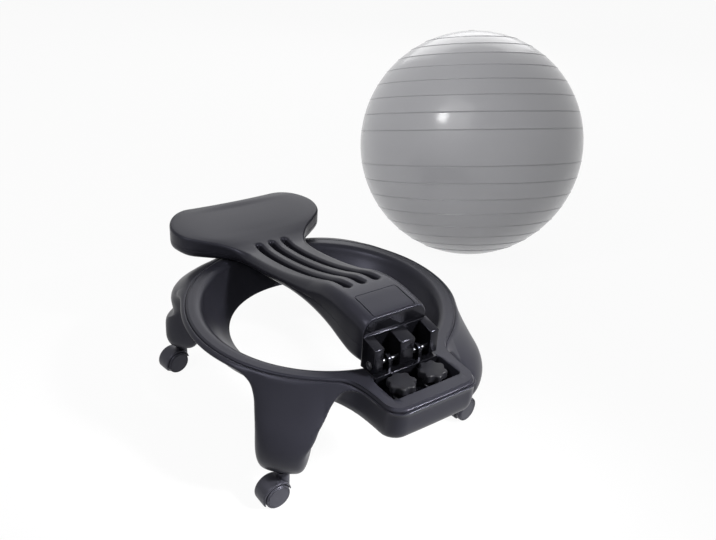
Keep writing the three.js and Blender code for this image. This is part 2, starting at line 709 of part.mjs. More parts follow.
const screwPlaces = [];
for (const side of [-1, 1]) {
  for (const [aside, along] of [screwPadShares, screwStemShares]) {
    screwPlaces.push([side * restHalfSpan * aside, restStart - restLength * along]);
  }
}
const posts = screwPlaces.map(([x, y]) => moved(rod(postRadius, 0, aboveAll, 14), x, y, 0));
const slots = [-1, 0, 1].map((k) => slotBlock(k * restHalfSpan * slotSpacingShare, 0));
const slotWalls = [-1, 0, 1].map((k) => slotBlock(k * restHalfSpan * slotSpacingShare, restWall));
const footPlugHeight = (footTopHeight + restUnder) / 2;
const footWindow = block(-footPlugHalfWidth - fitGap, footPlugHalfWidth + fitGap, restStart - 2 * restWall,
  2 * restStart, footPlugHeight - footPlugHalfHeight - fitGap, footPlugHeight + footPlugHalfHeight + fitGap);
const inside = cut(ringLoft(restRings(restWall, 14), false, true), ...posts, ...slotWalls);
const shell = cut(ringLoft(restRings(0, 18), false, true), inside, ...slots, footWindow);

const screwTools = screwPlaces.flatMap(([x, y]) => {
  const { top, under } = restAt(y);
  return [moved(rod(screwRadius + fitGap, 0, top - 2 * restWall, 14), x, y, 0),
    moved(rod(screwHeadRadius + fitGap, 0, under + screwHeadThickness + fitGap, 16), x, y, 0)];
});
const footScrewPlaces = [-1, 1].map((side) => [side * footScrewOffset, restStart - footPlugLength / 2]);
const footScrewTools = footScrewPlaces.map(([x, y]) => moved(rod(screwRadius + fitGap, 0,
  footPlugHeight, 14), x, y, 0));

const panelHalfWidth = restHalfSpan * panelHalfShare;
const panelStart = restStart - restLength * panelStartShare;
const panelSlope = Math.atan2(restAt(panelStart).top - restAt(restStart).top, restStart - panelStart);
const panelLength = restStart - panelStart - 2 * panelGroove;
const panelRing = cut(
  block(-panelHalfWidth, panelHalfWidth, 0, panelLength, -panelDepth, restWall),
  block(panelGroove - panelHalfWidth, panelHalfWidth - panelGroove, panelGroove, panelLength - panelGroove,
    -2 * panelDepth, 2 * restWall),
).rotateX(-panelSlope).translate(0, panelStart, restAt(panelStart).top);
add('backrest_rear_shell', cut(common(shell, partingSlab(true)), ...screwTools, panelRing), satinBlack);
add('backrest_front_shell', cut(common(shell, partingSlab(false)), ...screwTools, ...footScrewTools), satinBlack);

screwPlaces.forEach(([x, y], i) => {
  const { top, under } = restAt(y);
  add(`shell_screw_${i + 1}`, moved(screw(under + fitGap, top - 3 * restWall), x, y, 0), steel);
});

function screw(z0, z1) {
  return turned([[0, z0], [screwHeadRadius, z0], [screwHeadRadius, z0 + screwHeadThickness - fitGap],
    [screwRadius, z0 + screwHeadThickness - fitGap], [screwRadius, z1], [0, z1]], 14);
}

// backrest foot: plug inside the shells, back plate and three fingers round the pin
function finger(x0, x1) {
  const shape = new THREE.Shape();
  shape.moveTo(footBack, restUnder + footRise);
  shape.lineTo(hingeReach, hingeHeight - footKnuckleRadius);
  shape.absarc(hingeReach, hingeHeight, footKnuckleRadius, -Math.PI / 2, -Math.acos(footTipShare), false);
  shape.lineTo(footTipReach, footTipTopHeight);
  shape.lineTo(footBack, footTopHeight);
  shape.closePath();
  return extruded(shape, x1 - x0, 6).applyMatrix4(new THREE.Matrix4().makeBasis(
    new THREE.Vector3(0, 1, 0), new THREE.Vector3(0, 0, 1), new THREE.Vector3(1, 0, 0))).translate(x0, 0, 0);
}

const footBack = restStart + fitGap;
const footRise = 2 * runGap;
const footTipShare = (footTipReach - hingeReach) / footKnuckleRadius;
const footParts = [
  block(-footHalfWidth, footHalfWidth, footBack, footBack + footPlateThickness,
    restUnder + footRise, footTopHeight),
  block(-footPlugHalfWidth, footPlugHalfWidth, restStart - footPlugLength, footBack + fitGap,
    footPlugHeight - footPlugHalfHeight, footPlugHeight + footPlugHalfHeight),
  finger(footHalfWidth - footSideFingerWidth, footHalfWidth),
  finger(-footMiddleFingerWidth / 2, footMiddleFingerWidth / 2),
  finger(-footHalfWidth, footSideFingerWidth - footHalfWidth),
];
add('backrest_foot', cut(join(...footParts), pinBore, ...footScrewTools), glossBlack);
footScrewPlaces.forEach(([x, y], i) => {
  const { under } = restAt(y);
  const start = under - screwHeadThickness;
  add(`foot_screw_${i + 1}`, moved(screw(start, footPlugHeight - 2 * fitGap), x, y, 0), steel);
});

// ball with fine ridges round its axis, its valve closed by a plug
const ballHeight = ballRadius - ballSettle;
const ballCentre = new THREE.Vector3(ballAcross, ballBack, ballHeight);
const away = new THREE.Vector3(Math.cos(ballFacing), Math.sin(ballFacing), 0);
const sideways = new THREE.Vector3(away.y, -away.x, 0);
const ballAxis = new THREE.Vector3(0, 0, Math.cos(ballLeanAway) * Math.cos(ballLeanSide))
  .addScaledVector(away, Math.sin(ballLeanAway)).addScaledVector(sideways, Math.sin(ballLeanSide)).normalize();
const lean = new THREE.Quaternion().setFromUnitVectors(new THREE.Vector3(0, 0, 1), ballAxis);

function onBall(radius, latitude) {
  return [radius * Math.cos(latitude), radius * Math.sin(latitude)];
}

const valveRadius = plugStemRadius + fitGap;
const ballInside = ballRadius - ballWall;
const outerSkin = [[valveRadius, Math.sqrt(ballRadius ** 2 - valveRadius ** 2)]];
const poleLatitudes = [84, 75].map((a) => a * degree);
const halfRidge = ballRidgeHalfWidth / ballRadius;
const latitudes = [];
for (let k = ballRidgeCount; k >= 1; k -= 1) latitudes.push(k * ballRidgePitch);
latitudes.push(...latitudes.slice().reverse().map((a) => -a));
for (const latitude of poleLatitudes) outerSkin.push(onBall(ballRadius, latitude));
latitudes.forEach((latitude, i) => {
  if (i === ballRidgeCount) outerSkin.push(onBall(ballRadius, 0));
  outerSkin.push(onBall(ballRadius, latitude + halfRidge), onBall(ballRadius + ballRidge, latitude),
    onBall(ballRadius, latitude - halfRidge));
});
for (const latitude of poleLatitudes.reverse()) outerSkin.push(onBall(ballRadius, -latitude));
const innerSkin = [[0, -ballInside]];
for (const latitude of [-70, -50, -30, -10, 10, 30, 50, 70]) innerSkin.push(onBall(ballInside, latitude * degree));
innerSkin.push([valveRadius, Math.sqrt(ballInside ** 2 - valveRadius ** 2)]);
const ballSkin = turned([...outerSkin, [0, -ballRadius], ...innerSkin, outerSkin[0]].reverse(), 24);
const floorBlock = block(-2 * ballRadius, 2 * ballRadius, -2 * ballRadius, 2 * ballRadius, -2 * ballRadius, 0);
ballSkin.applyQuaternion(lean).translate(...ballCentre);
add('ball_shell', cut(ballSkin, moved(floorBlock, ballAcross, ballBack, 0)), ballGrey);

const plugSeat = ballRadius + ballRidge;
const plug = turned([[0, plugSeat - plugStemLength], [plugStemRadius, plugSeat - plugStemLength],
  [plugStemRadius, plugSeat], [plugHeadRadius, plugSeat], [plugHeadRadius, plugSeat + plugHeadThickness],
  [0, plugSeat + plugHeadThickness]], 16);
add('ball_plug', plug.applyQuaternion(lean).translate(...ballCentre), plugWhite);

// the floor is at zero and the middle of the whole outline stands over the origin
const bounds = new THREE.Box3().setFromObject(group);
const middle = bounds.getCenter(new THREE.Vector3());
for (const mesh of group.children) mesh.geometry.translate(-middle.x, -middle.y, -bounds.min.z);
export default group;
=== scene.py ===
import math

import bmesh
import bpy
import numpy as np
from mathutils import Matrix, Vector


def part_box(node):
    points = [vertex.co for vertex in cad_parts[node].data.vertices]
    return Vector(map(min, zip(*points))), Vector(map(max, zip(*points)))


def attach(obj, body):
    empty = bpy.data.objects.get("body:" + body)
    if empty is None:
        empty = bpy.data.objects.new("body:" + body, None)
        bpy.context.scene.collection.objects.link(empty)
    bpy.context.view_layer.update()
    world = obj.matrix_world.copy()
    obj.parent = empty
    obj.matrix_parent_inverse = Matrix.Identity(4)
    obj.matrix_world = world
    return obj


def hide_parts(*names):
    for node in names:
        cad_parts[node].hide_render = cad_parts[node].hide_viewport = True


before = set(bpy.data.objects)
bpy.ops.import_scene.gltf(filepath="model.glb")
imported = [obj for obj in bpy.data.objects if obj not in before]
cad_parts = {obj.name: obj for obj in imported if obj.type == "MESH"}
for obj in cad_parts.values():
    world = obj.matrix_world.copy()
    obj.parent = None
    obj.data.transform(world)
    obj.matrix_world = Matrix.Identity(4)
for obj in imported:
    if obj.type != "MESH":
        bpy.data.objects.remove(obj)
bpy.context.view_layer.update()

# Everything below is written in millimetres in the chair's own frame: ring centre at the origin,
# floor at zero, +Y towards the box. The hinge pin tells where that frame is in the row frame.
MM = 0.001
DEG = math.pi / 180
HINGE_Y, HINGE_Z = 222.0, 234.0
pin_low, pin_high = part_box("hinge_pin")
ORIGIN = np.array([(low + high) / 2 - middle * MM
                   for low, high, middle in zip(pin_low, pin_high, (0, HINGE_Y, HINGE_Z))])

# ---------------------------------------------------------------- materials

ROUGHNESS_SWING = 0.14
GRAIN_HEIGHT = 0.0004
COAT_ROUGHNESS = 0.17
COOL = (0.80, 0.80, 1.0)


def linear(*rgb):
    """An sRGB colour, 0 to 255, in linear values."""
    return tuple(((c / 255 + 0.055) / 1.055) ** 2.4 if c > 10 else c / 255 / 12.92 for c in rgb)


def shader(name, dark, light, rough, grain=900.0, bump=0.06, metallic=0.0, specular=0.3,
           coat=0.0, tone_scale=9.0, tint=(1.0, 1.0, 1.0)):
    """Procedural finish between two sRGB tones, with a slow change of tone and roughness and a fine grain."""
    mat = bpy.data.materials.new(name)
    mat.use_nodes = True
    tree = mat.node_tree
    bsdf = tree.nodes["Principled BSDF"]
    coord = tree.nodes.new("ShaderNodeTexCoord")

    def noise(scale, detail):
        node = tree.nodes.new("ShaderNodeTexNoise")
        node.inputs["Scale"].default_value = scale
        node.inputs["Detail"].default_value = detail
        tree.links.new(coord.outputs["Object"], node.inputs["Vector"])
        return node

    wide = noise(tone_scale, 3.0)
    fine = noise(grain, 2.0)
    tone = tree.nodes.new("ShaderNodeMix")
    tone.data_type = "RGBA"
    tone.inputs["A"].default_value = (*linear(*dark), 1)
    tone.inputs["B"].default_value = (*linear(*light), 1)
    tree.links.new(wide.outputs["Fac"], tone.inputs["Factor"])
    tree.links.new(tone.outputs["Result"], bsdf.inputs["Base Color"])
    roughness = tree.nodes.new("ShaderNodeMapRange")
    roughness.inputs["To Min"].default_value = rough * (1 - ROUGHNESS_SWING)
    roughness.inputs["To Max"].default_value = rough * (1 + ROUGHNESS_SWING)
    tree.links.new(wide.outputs["Fac"], roughness.inputs["Value"])
    tree.links.new(roughness.outputs["Result"], bsdf.inputs["Roughness"])
    relief = tree.nodes.new("ShaderNodeBump")
    relief.inputs["Strength"].default_value = bump
    relief.inputs["Distance"].default_value = GRAIN_HEIGHT
    tree.links.new(fine.outputs["Fac"], relief.inputs["Height"])
    tree.links.new(relief.outputs["Normal"], bsdf.inputs["Normal"])
    bsdf.inputs["Metallic"].default_value = metallic
    bsdf.inputs["Specular IOR Level"].default_value = specular
    bsdf.inputs["Specular Tint"].default_value = (*tint, 1)
    bsdf.inputs["Coat Weight"].default_value = coat
    bsdf.inputs["Coat Roughness"].default_value = COAT_ROUGHNESS
    return mat


satin = shader("satin_black", (26, 26, 31), (34, 34, 40), 0.33, grain=1400, specular=0.19, tint=COOL)
gloss = shader("gloss_black", (7, 7, 9), (11, 11, 14), 0.16, bump=0.02, specular=0.24, tint=COOL)
knob_black = shader("knob_black", (20, 20, 23), (28, 28, 32), 0.44, grain=1100, bump=0.10, specular=0.17)
caster_black = shader("caster_black", (38, 38, 43), (50, 50, 56), 0.40, grain=1200, bump=0.08, tint=COOL)
dark_steel = shader("dark_steel", (60, 60, 64), (96, 97, 101), 0.30, grain=500, bump=0.05, metallic=1.0)
steel = shader("steel", (150, 151, 156), (188, 189, 194), 0.30, grain=500, bump=0.04, metallic=1.0)
brass = shader("brass", (160, 130, 70), (196, 165, 98), 0.34, grain=500, bump=0.04, metallic=1.0)
vinyl = shader("ball_vinyl", (173, 173, 177), (185, 185, 189), 0.46, grain=420, bump=0.03, specular=0.4,
               coat=0.7, tone_scale=4.0)
plug_white = shader("plug_white", (205, 205, 201), (222, 222, 218), 0.45, grain=800, bump=0.05)

# ---------------------------------------------------------------- mesh helpers


def mesh_object(name, verts, faces):
    """A mesh object in the row frame from points in the chair's millimetres, faces turned outward."""
    mesh = bpy.data.meshes.new(name)
    mesh.from_pydata((np.asarray(verts, float) * MM + ORIGIN).tolist(), [], faces)
    bm = bmesh.new()
    bm.from_mesh(mesh)
    bmesh.ops.recalc_face_normals(bm, faces=bm.faces)
    if bm.calc_volume(signed=True) < 0:
        bmesh.ops.reverse_faces(bm, faces=bm.faces)
    bm.to_mesh(mesh)
    bm.free()
    obj = bpy.data.objects.new(name, mesh)
    bpy.context.scene.collection.objects.link(obj)
    return obj


def ring_loft(name, rings, around=False):
    """Rings of equal point count joined into one closed skin, with capped ends or all the way around."""
    rings = np.asarray(rings, float)
    n, m = rings.shape[:2]
    index = np.arange(n * m).reshape(n, m)
    following = np.roll(index, -1, axis=0) if around else index[1:]
    a = index if around else index[:-1]
    quads = np.stack([a, following, np.roll(following, -1, axis=1), np.roll(a, -1, axis=1)], axis=-1)
    faces = quads.reshape(-1, 4).tolist()
    if not around:
        faces.append(index[0].tolist())
        faces.append(index[-1][::-1].tolist())
    return mesh_object(name, rings.reshape(-1, 3), faces)


def turned(name, profile, segments, centre=(0, 0, 0), axis=(0, 0, 1), closed=False):
    """A lathe round an axis. profile is (radius, height); radius 0 closes to a point, closed makes a tube."""
    direction = Vector(axis).normalized()
    turn = Vector((0, 0, 1)).rotation_difference(direction).to_matrix()
    theta = np.arange(segments) / segments * 2 * math.pi
    verts, rows = [], []
    for r, z in profile:
        if r == 0:
            rows.append([len(verts)] * segments)
            verts.append((0, 0, z))
        else:
            rows.append(list(range(len(verts), len(verts) + segments)))
            verts.extend((r * math.cos(t), r * math.sin(t), z) for t in theta)
    faces = []
    pairs = list(zip(rows, rows[1:])) + ([(rows[-1], rows[0])] if closed else [])
    for a, b in pairs:
        for j in range(segments):
            k = (j + 1) % segments
            corners = [a[j], a[k], b[k], b[j]]
            unique = [v for i, v in enumerate(corners) if v not in corners[:i]]
            if len(unique) > 2:
                faces.append(unique)
    if not closed:
        for row in (rows[0], rows[-1]):
            if row[0] != row[1]:
                faces.append(row)
    points = [tuple(turn @ Vector(v) + Vector(centre)) for v in verts]
    return mesh_object(name, points, faces)


def cylinder(name, radius, z0, z1, segments, centre=(0, 0, 0), axis=(0, 0, 1)):
    return turned(name, [(radius, z0), (radius, z1)], segments, centre, axis)


def rounded_box(name, low, high, bevel):
    """A box from corner to corner; a bevel of 0 leaves its edges sharp."""
    verts = [(x, y, z) for x in (low[0], high[0]) for y in (low[1], high[1]) for z in (low[2], high[2])]
    faces = [(0, 1, 3, 2), (4, 6, 7, 5), (0, 4, 5, 1), (2, 3, 7, 6), (0, 2, 6, 4), (1, 5, 7, 3)]
    obj = mesh_object(name, verts, faces)
    return bevelled(obj, bevel) if bevel else obj


def bevelled(obj, width, segments=3, angle=40):
    """Rounds the edges of obj that turn by more than the angle."""
    bm = bmesh.new()
    bm.from_mesh(obj.data)
    edges = [e for e in bm.edges if len(e.link_faces) == 2 and e.calc_face_angle(0) > angle * DEG]
    bmesh.ops.bevel(bm, geom=edges, offset=width * MM, segments=segments, profile=0.5, affect="EDGES",
                    clamp_overlap=True)
    bm.to_mesh(obj.data)
    bm.free()
    return obj


def combine(obj, others, operation):
    """Boolean of obj with others, applied to obj's mesh; the others are removed."""
    for other in others:
        mod = obj.modifiers.new("combine", "BOOLEAN")
        mod.operation = operation
        mod.solver = "MANIFOLD"
        mod.object = other
    bpy.context.view_layer.update()
    result = bpy.data.meshes.new_from_object(obj.evaluated_get(bpy.context.evaluated_depsgraph_get()))
    obj.modifiers.clear()
    obj.data = result
    for other in others:
        bpy.data.objects.remove(other)
    return obj


def carve(obj, *tools):
    return combine(obj, tools, "DIFFERENCE")


def fuse(obj, *others):
    return combine(obj, others, "UNION")


def dress(obj, body, slot, material, *nodes, sharp=32):
    """Gives a piece its material and shading and its body, and hides the CAD nodes that it stands for; slot
    is not used.
    """
    obj.data.materials.clear()
    obj.data.materials.append(material)
    obj.data.shade_smooth()
    obj.data.set_sharp_from_angle(angle=sharp * DEG)
    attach(obj, body)
    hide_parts(*nodes)


def spline(points, per):
    """Centripetal Catmull-Rom curves through points[..., k, :], per samples on each stretch."""
    p = np.asarray(points, float)
    before = 2 * p[..., :1, :] - p[..., 1:2, :]
    after = 2 * p[..., -1:, :] - p[..., -2:-1, :]
    q = np.concatenate([before, p, after], axis=-2)
    step = np.sqrt(np.linalg.norm(np.diff(q, axis=-2), axis=-1))[..., None] + 1e-6
    a, b, c, d = q[..., :-3, :], q[..., 1:-2, :], q[..., 2:-1, :], q[..., 3:, :]
    t0, t1, t2 = step[..., :-2, :], step[..., 1:-1, :], step[..., 2:, :]
    m1 = ((b - a) / t0 - (c - a) / (t0 + t1) + (c - b) / t1) * t1
    m2 = ((c - b) / t1 - (d - b) / (t1 + t2) + (d - c) / t2) * t1
    rows = []
    for k in range(per):
        u = k / per
        rows.append((2 * u**3 - 3 * u**2 + 1) * b + (u**3 - 2 * u**2 + u) * m1
                    + (3 * u**2 - 2 * u**3) * c + (u**3 - u**2) * m2)
    fine = np.stack(rows, axis=-2).reshape(*p.shape[:-2], -1, p.shape[-1])
    return np.concatenate([fine, p[..., -1:, :]], axis=-2)


def smooth(t):
    """Eases from 0 to 1 while t goes from 0 to 1."""
    u = np.clip(t, 0, 1)
    return u * u * (3 - 2 * u)


def blend(a, b, t):
    """a at t = 0, b at t = 1."""
    return a + (b - a) * t


# ---------------------------------------------------------------- base frame

RING_EDGE, RING_TOP, RING_BULGE, RING_DEPTH = 231.0, 217.0, 12.0, 53.0
BOX_HALF, BOX_REACH, BOX_DEPTH, BOX_CORNER = 80.0, 309.0, 58.0, 24.0
BOWL_R, BOWL_Z, BOWL_IN, BOWL_DEEP, BOWL_SAG = 160.0, 158.0, 50.0, 59.0, 1.6
LEG_HEIGHT, LEG_HALF_DEPTH = 157.0, 38.0
REAR_REACH, REAR_ANGLE = 255.0, 45.2 * DEG
FRONT_REACH, FRONT_ANGLE = 265.0, 51.6 * DEG
FRONT_STEM_REACH = 280.0
LEG_FLANK = 11 * DEG
LEG_CROWN, LEG_CROWN_LIMIT = 10.0, 1.4
# degrees: half the turn that a leg takes up at its foot, and what is added to it at its top
LEG_TURN, LEG_TURN_TO_BOX, LEG_TURN_ELSE = 10.1, 13.0, 10.0
LEG_SOFT, LEG_SOFT_MORE = 0.95, 1.6
ARCH_RISE, ARCH_MIDDLE, ARCH_WIDTH = 0.25, 30 * DEG, 7 * DEG
BOX_FADE_START, BOX_FADE = 45 * DEG, 19 * DEG
PIT_HALF, PIT_Y0, PIT_Y1, PIT_FLOOR, PIT_CORNER = 63.5, 235.0, 288.0, 191.0, 5.0
KNOB_X, KNOB_Y = 29.5, 261.5
SOCKET_BORE, INSERT_BORE = 11.4, 6.9
EDGE_ROUND = 3.2
# place, half width and depth of the groove, each at the ring and at the box
GROOVE_AT, GROOVE_HALF, GROOVE_DEEP = (5.2, 8.2), (1.9, 2.1), (2.1, 2.7)
SOCKET_BORE_SPAN, INSERT_BORE_SPAN = (20.0, 98.0), (172.0, 200.0)
FRAME_SECTIONS = 820

# Control points of the section, as shares: down the outer face (out) and then in under the ring (in),
# or under the foot of a leg (foot). The ring's, the box's and a leg's are mixed at each angle.
ring_out = [0.58, 0.79, 0.58, 0.083, -0.5, -1.17, -1.83]
ring_out_drop = [0.057, 0.132, 0.198, 0.311, 0.443, 0.604, 0.774]
ring_in = [0.394, 0.49, 0.58, 0.67, 0.76, 0.85, 0.92, 0.97]
ring_in_drop = [0.94, 0.995, 1.03, 1.055, 1.075, 1.09, 1.1, 1.11]
box_out = [0.25, 0.5, 0.5, 0.36, 0.28, 0.16, -0.16]
box_out_drop = [0.04, 0.12, 0.15, 0.165, 0.6, 0.78, 0.92]
box_in = [0.06, 0.2, 0.36, 0.52, 0.68, 0.82, 0.92, 0.98]
rear_out = [0.1, 0.2, 0.34, 0.58, 0.86, 0.99, 0.97]
rear_out_drop = [0.03, 0.09, 0.17, 0.3, 0.46, 0.62, 0.77]
rear_foot = [0.76, 0.46, 0, -0.5, -0.84, -1.02, -1.25, -2.3]
rear_foot_drop = [0.885, 0.965, 0.99, 0.975, 0.91, 0.7, 0.51, 0.395]
front_out = [0.264, 0.458, 0.625, 0.722, 0.708, 0.903, 0.938]
front_out_drop = [0.032, 0.089, 0.159, 0.287, 0.516, 0.592, 0.77]
front_foot = [0.84, 0.62, 0.1, -0.5, -0.84, -1.02, -1.25, -2.3]
front_foot_drop = [0.89, 0.968, 0.99, 0.975, 0.91, 0.7, 0.51, 0.395]
# (radius, height)
inner_rim = [(205.2, 211.3), (208.0, 213.8), (211.0, 215.6), (214.2, 216.7), (217.6, 217.0)]


def edge_reach(angle):
    """Radius of the top outline, a circle that runs into the rounded box."""
    up, across = np.maximum(np.sin(angle), 1e-9), np.maximum(np.abs(np.cos(angle)), 1e-9)
    hub_x, hub_y = BOX_HALF - BOX_CORNER, BOX_REACH - BOX_CORNER
    along = across * hub_x + up * hub_y
    corner = along + np.sqrt(np.maximum(along**2 - hub_x**2 - hub_y**2 + BOX_CORNER**2, 0))
    box = np.where(across * hub_y >= up * BOX_HALF, BOX_HALF / across,
                   np.where(up * hub_x >= across * BOX_REACH, BOX_REACH / up, corner))
    both = (RING_EDGE**8 + box**8) ** (1 / 8)
    return np.where(np.sin(angle) <= 0, RING_EDGE, both)


def leg_weight(turn, rear, height):
    """Share of the leg in the section at a turn from its middle; the leg widens and softens with height."""
    wider = np.where(rear & (turn > 0), LEG_TURN_TO_BOX * height, LEG_TURN_ELSE * height * height)
    half = (LEG_TURN + wider) * DEG
    soft = (LEG_SOFT + LEG_SOFT_MORE * height) * DEG
    top = 1 / (1 + np.exp(-half / soft))
    return 1 / (1 + np.exp(np.clip((np.abs(turn) - half) / soft, -60, 60))) / top


def frame_controls(angle):
    """Control points of the section at each angle, (angle, point, (radius, height)), the share of the
    box in the top and the index of the first point under the bowl."""
    edge = edge_reach(angle)
    upper = smooth((edge - RING_EDGE) / (BOX_REACH - RING_EDGE) * 3)
    off = np.abs(np.arctan2(np.cos(angle), np.sin(angle)))
    lower = np.maximum(upper, smooth((BOX_FADE_START - off) / BOX_FADE))
    rear = np.sin(angle) > 0
    turn = np.arctan2(np.sin(angle), np.abs(np.cos(angle))) - np.where(rear, REAR_ANGLE, -FRONT_ANGLE)
    reach = np.where(rear, REAR_REACH, FRONT_REACH)
    leg_run = reach + LEG_HALF_DEPTH - RING_EDGE
    inward = edge - BOWL_R
    arch = ARCH_RISE * np.exp(-((off - ARCH_MIDDLE) / ARCH_WIDTH) ** 2)
    crown = LEG_CROWN * np.minimum(LEG_CROWN_LIMIT, (turn / LEG_FLANK) ** 2)
    flat = np.full_like(edge, RING_TOP)
    points = [(edge - EDGE_ROUND, flat)]

    def mixed(ring, box, leg, box_weight, weight):
        r = blend(blend(ring[0], box[0], box_weight), leg[0], weight)
        z = RING_TOP - blend(blend(ring[1], box[1], box_weight), leg[1], weight)
        return r, z

    for i in range(len(ring_out)):
        down = i / (len(ring_out) - 1)
        points.append(mixed((edge + RING_BULGE * ring_out[i], (1 - arch) * RING_DEPTH * ring_out_drop[i]),
                            (edge + RING_BULGE * box_out[i], (1 - arch) * BOX_DEPTH * box_out_drop[i]),
                            (RING_EDGE + (leg_run - crown) * np.where(rear, rear_out[i], front_out[i]),
                             LEG_HEIGHT * np.where(rear, rear_out_drop[i], front_out_drop[i])),
                            blend(upper, lower, smooth(down)), leg_weight(turn, rear, 1 - down)))
    for i in range(len(ring_in)):
        share = np.where(rear, rear_foot[i], front_foot[i])
        points.append(mixed((edge - inward * ring_in[i],
                             (1 - arch * (1 - ring_in[i]**2)) * RING_DEPTH * ring_in_drop[i]),
                            (edge - inward * box_in[i], (1 - arch * (1 - box_in[i]**2)) * BOX_DEPTH),
                            (reach + LEG_HALF_DEPTH * share - crown * np.clip(share, -1, 1),
                             LEG_HEIGHT * np.where(rear, rear_foot_drop[i], front_foot_drop[i])),
                            lower, leg_weight(turn, rear, 0)))
    turn_under = len(points)
    bowl = [(BOWL_R + 1.7, BOWL_Z - 0.1), (BOWL_R + 0.1, BOWL_Z + 1.2), (BOWL_R + 2.0, BOWL_Z + 3.5)]
    for share in (0.36, 0.72):
        sag = math.sin(share * math.pi) * BOWL_SAG
        bowl.append((BOWL_R + BOWL_IN * share + sag, BOWL_Z + BOWL_DEEP * share - sag))
    points += [(np.full_like(edge, r), np.full_like(edge, z)) for r, z in bowl + inner_rim]
    points += [(edge - back, flat) for back in (2 * EDGE_ROUND, EDGE_ROUND + 1.2)]
    return np.array(points).transpose(2, 0, 1), upper, turn_under


def frame_angles(count):
    """Angles round the ring, closer together at the box corners and on the flanks of the legs."""
    fine = np.linspace(0, 2 * math.pi, 20001)
    density = np.ones_like(fine)
    for middle in (REAR_ANGLE, math.pi - REAR_ANGLE, math.pi + FRONT_ANGLE, -FRONT_ANGLE):
        for flank in (-LEG_FLANK, LEG_FLANK):
            off = np.angle(np.exp(1j * (fine - middle - flank)))
            density += np.exp(-(off / (4 * DEG)) ** 2)
    for box_corner in (90 - 13.2, 90 + 13.2):
        off = np.angle(np.exp(1j * (fine - box_corner * DEG)))
        density += 3 * np.exp(-(off / (3.4 * DEG)) ** 2)
    total = np.concatenate([[0], np.cumsum((density[1:] + density[:-1]) / 2)])
    return np.interp(np.arange(count) / count * total[-1], total, fine)


def frame_rings(count):
    """Sections of the frame, with the groove pressed into the top face beside its outer edge."""
    angle = frame_angles(count)
    controls, upper, turn_under = frame_controls(angle)
    outer = spline(controls[:, :turn_under + 1], 10)
    length = np.concatenate([np.zeros((count, 1)),
                             np.cumsum(np.linalg.norm(np.diff(outer, axis=1), axis=2), axis=1)], axis=1)
    groove_at, groove_half, groove_deep = (
        blend(at_ring, at_box, upper) for at_ring, at_box in (GROOVE_AT, GROOVE_HALF, GROOVE_DEEP))
    near = np.array([-1.6, -1.2, -0.9, -0.62, -0.34, 0, 0.34, 0.62, 0.9, 1.2, 1.6])
    total = length[:, -1]
    start = groove_at + near[0] * groove_half
    end = groove_at + near[-1] * groove_half
    stations = np.concatenate([
        start[:, None] * (np.arange(5) / 5)[None, :],
        groove_at[:, None] + groove_half[:, None] * near[None, :],
        end[:, None] + (total - end)[:, None] * (np.arange(1, 61) / 60)[None, :]], axis=1)
    r = np.array([np.interp(stations[i], length[i], outer[i, :, 0]) for i in range(count)])
    z = np.array([np.interp(stations[i], length[i], outer[i, :, 1]) for i in range(count)])
    dr, dz = np.gradient(r, axis=1), np.gradient(z, axis=1)
    size = np.hypot(dr, dz) + 1e-9
    across = (stations - groove_at[:, None]) / (0.62 * groove_half[:, None])
    depth = groove_deep[:, None] * np.exp(-across ** 2)
    r, z = r + dz / size * depth, z - dr / size * depth
    rest = spline(np.concatenate([controls[:, turn_under:], controls[:, :1]], axis=1), 4)[:, 1:-1]
    r = np.concatenate([r, rest[:, :, 0]], axis=1)
    z = np.concatenate([z, rest[:, :, 1]], axis=1)
    return np.stack([r * np.cos(angle)[:, None], r * np.sin(angle)[:, None], z], axis=2)


def rounded_outline(half, y0, y1, corner, steps=8):
    """Plan outline of a rounded rectangle, counterclockwise."""
    points = []
    for cx, cy, start in [(half - corner, y1 - corner, 0), (corner - half, y1 - corner, 90),
                          (corner - half, y0 + corner, 180), (half - corner, y0 + corner, 270)]:
        for k in range(steps + 1):
            a = (start + 90 * k / steps) * DEG
            points.append((cx + corner * math.cos(a), cy + corner * math.sin(a)))
    return points


def pit_tool():
    """The pit under the knobs, with a rounded floor edge and a rounded rim; levels are (grow, up)."""
    levels = [(-1.2, 0), (-0.35, 0.18), (0, 1.2), (0, 24.4), (0.12, 25.0), (0.55, 25.6), (1.2, 25.9),
              (2.4, 26.6)]
    rings = []
    for grow, up in levels:
        outline = rounded_outline(PIT_HALF + grow, PIT_Y0 - grow, PIT_Y1 + grow, PIT_CORNER + grow)
        rings.append([(x, y, PIT_FLOOR + up) for x, y in outline])
    return ring_loft("pit_tool", rings)


REAR_STEM, FRONT_STEM = ((reach * math.cos(a), reach * math.sin(a))
                         for reach, a in [(REAR_REACH, REAR_ANGLE), (FRONT_STEM_REACH, FRONT_ANGLE)])
stems = [(REAR_STEM[0], REAR_STEM[1]), (-REAR_STEM[0], REAR_STEM[1]),
         (-FRONT_STEM[0], -FRONT_STEM[1]), (FRONT_STEM[0], -FRONT_STEM[1])]

skin = ring_loft("base_frame_skin", frame_rings(FRAME_SECTIONS), around=True)
bores = [cylinder("bore_tool", SOCKET_BORE, *SOCKET_BORE_SPAN, 40, (x, y, 0)) for x, y in stems]
bores += [cylinder("bore_tool", INSERT_BORE, *INSERT_BORE_SPAN, 32, (side * KNOB_X, KNOB_Y, 0))
          for side in (-1, 1)]
dress(carve(skin, pit_tool(), *bores), "base", "satin_black", satin, "base_frame")

# ---------------------------------------------------------------- backrest

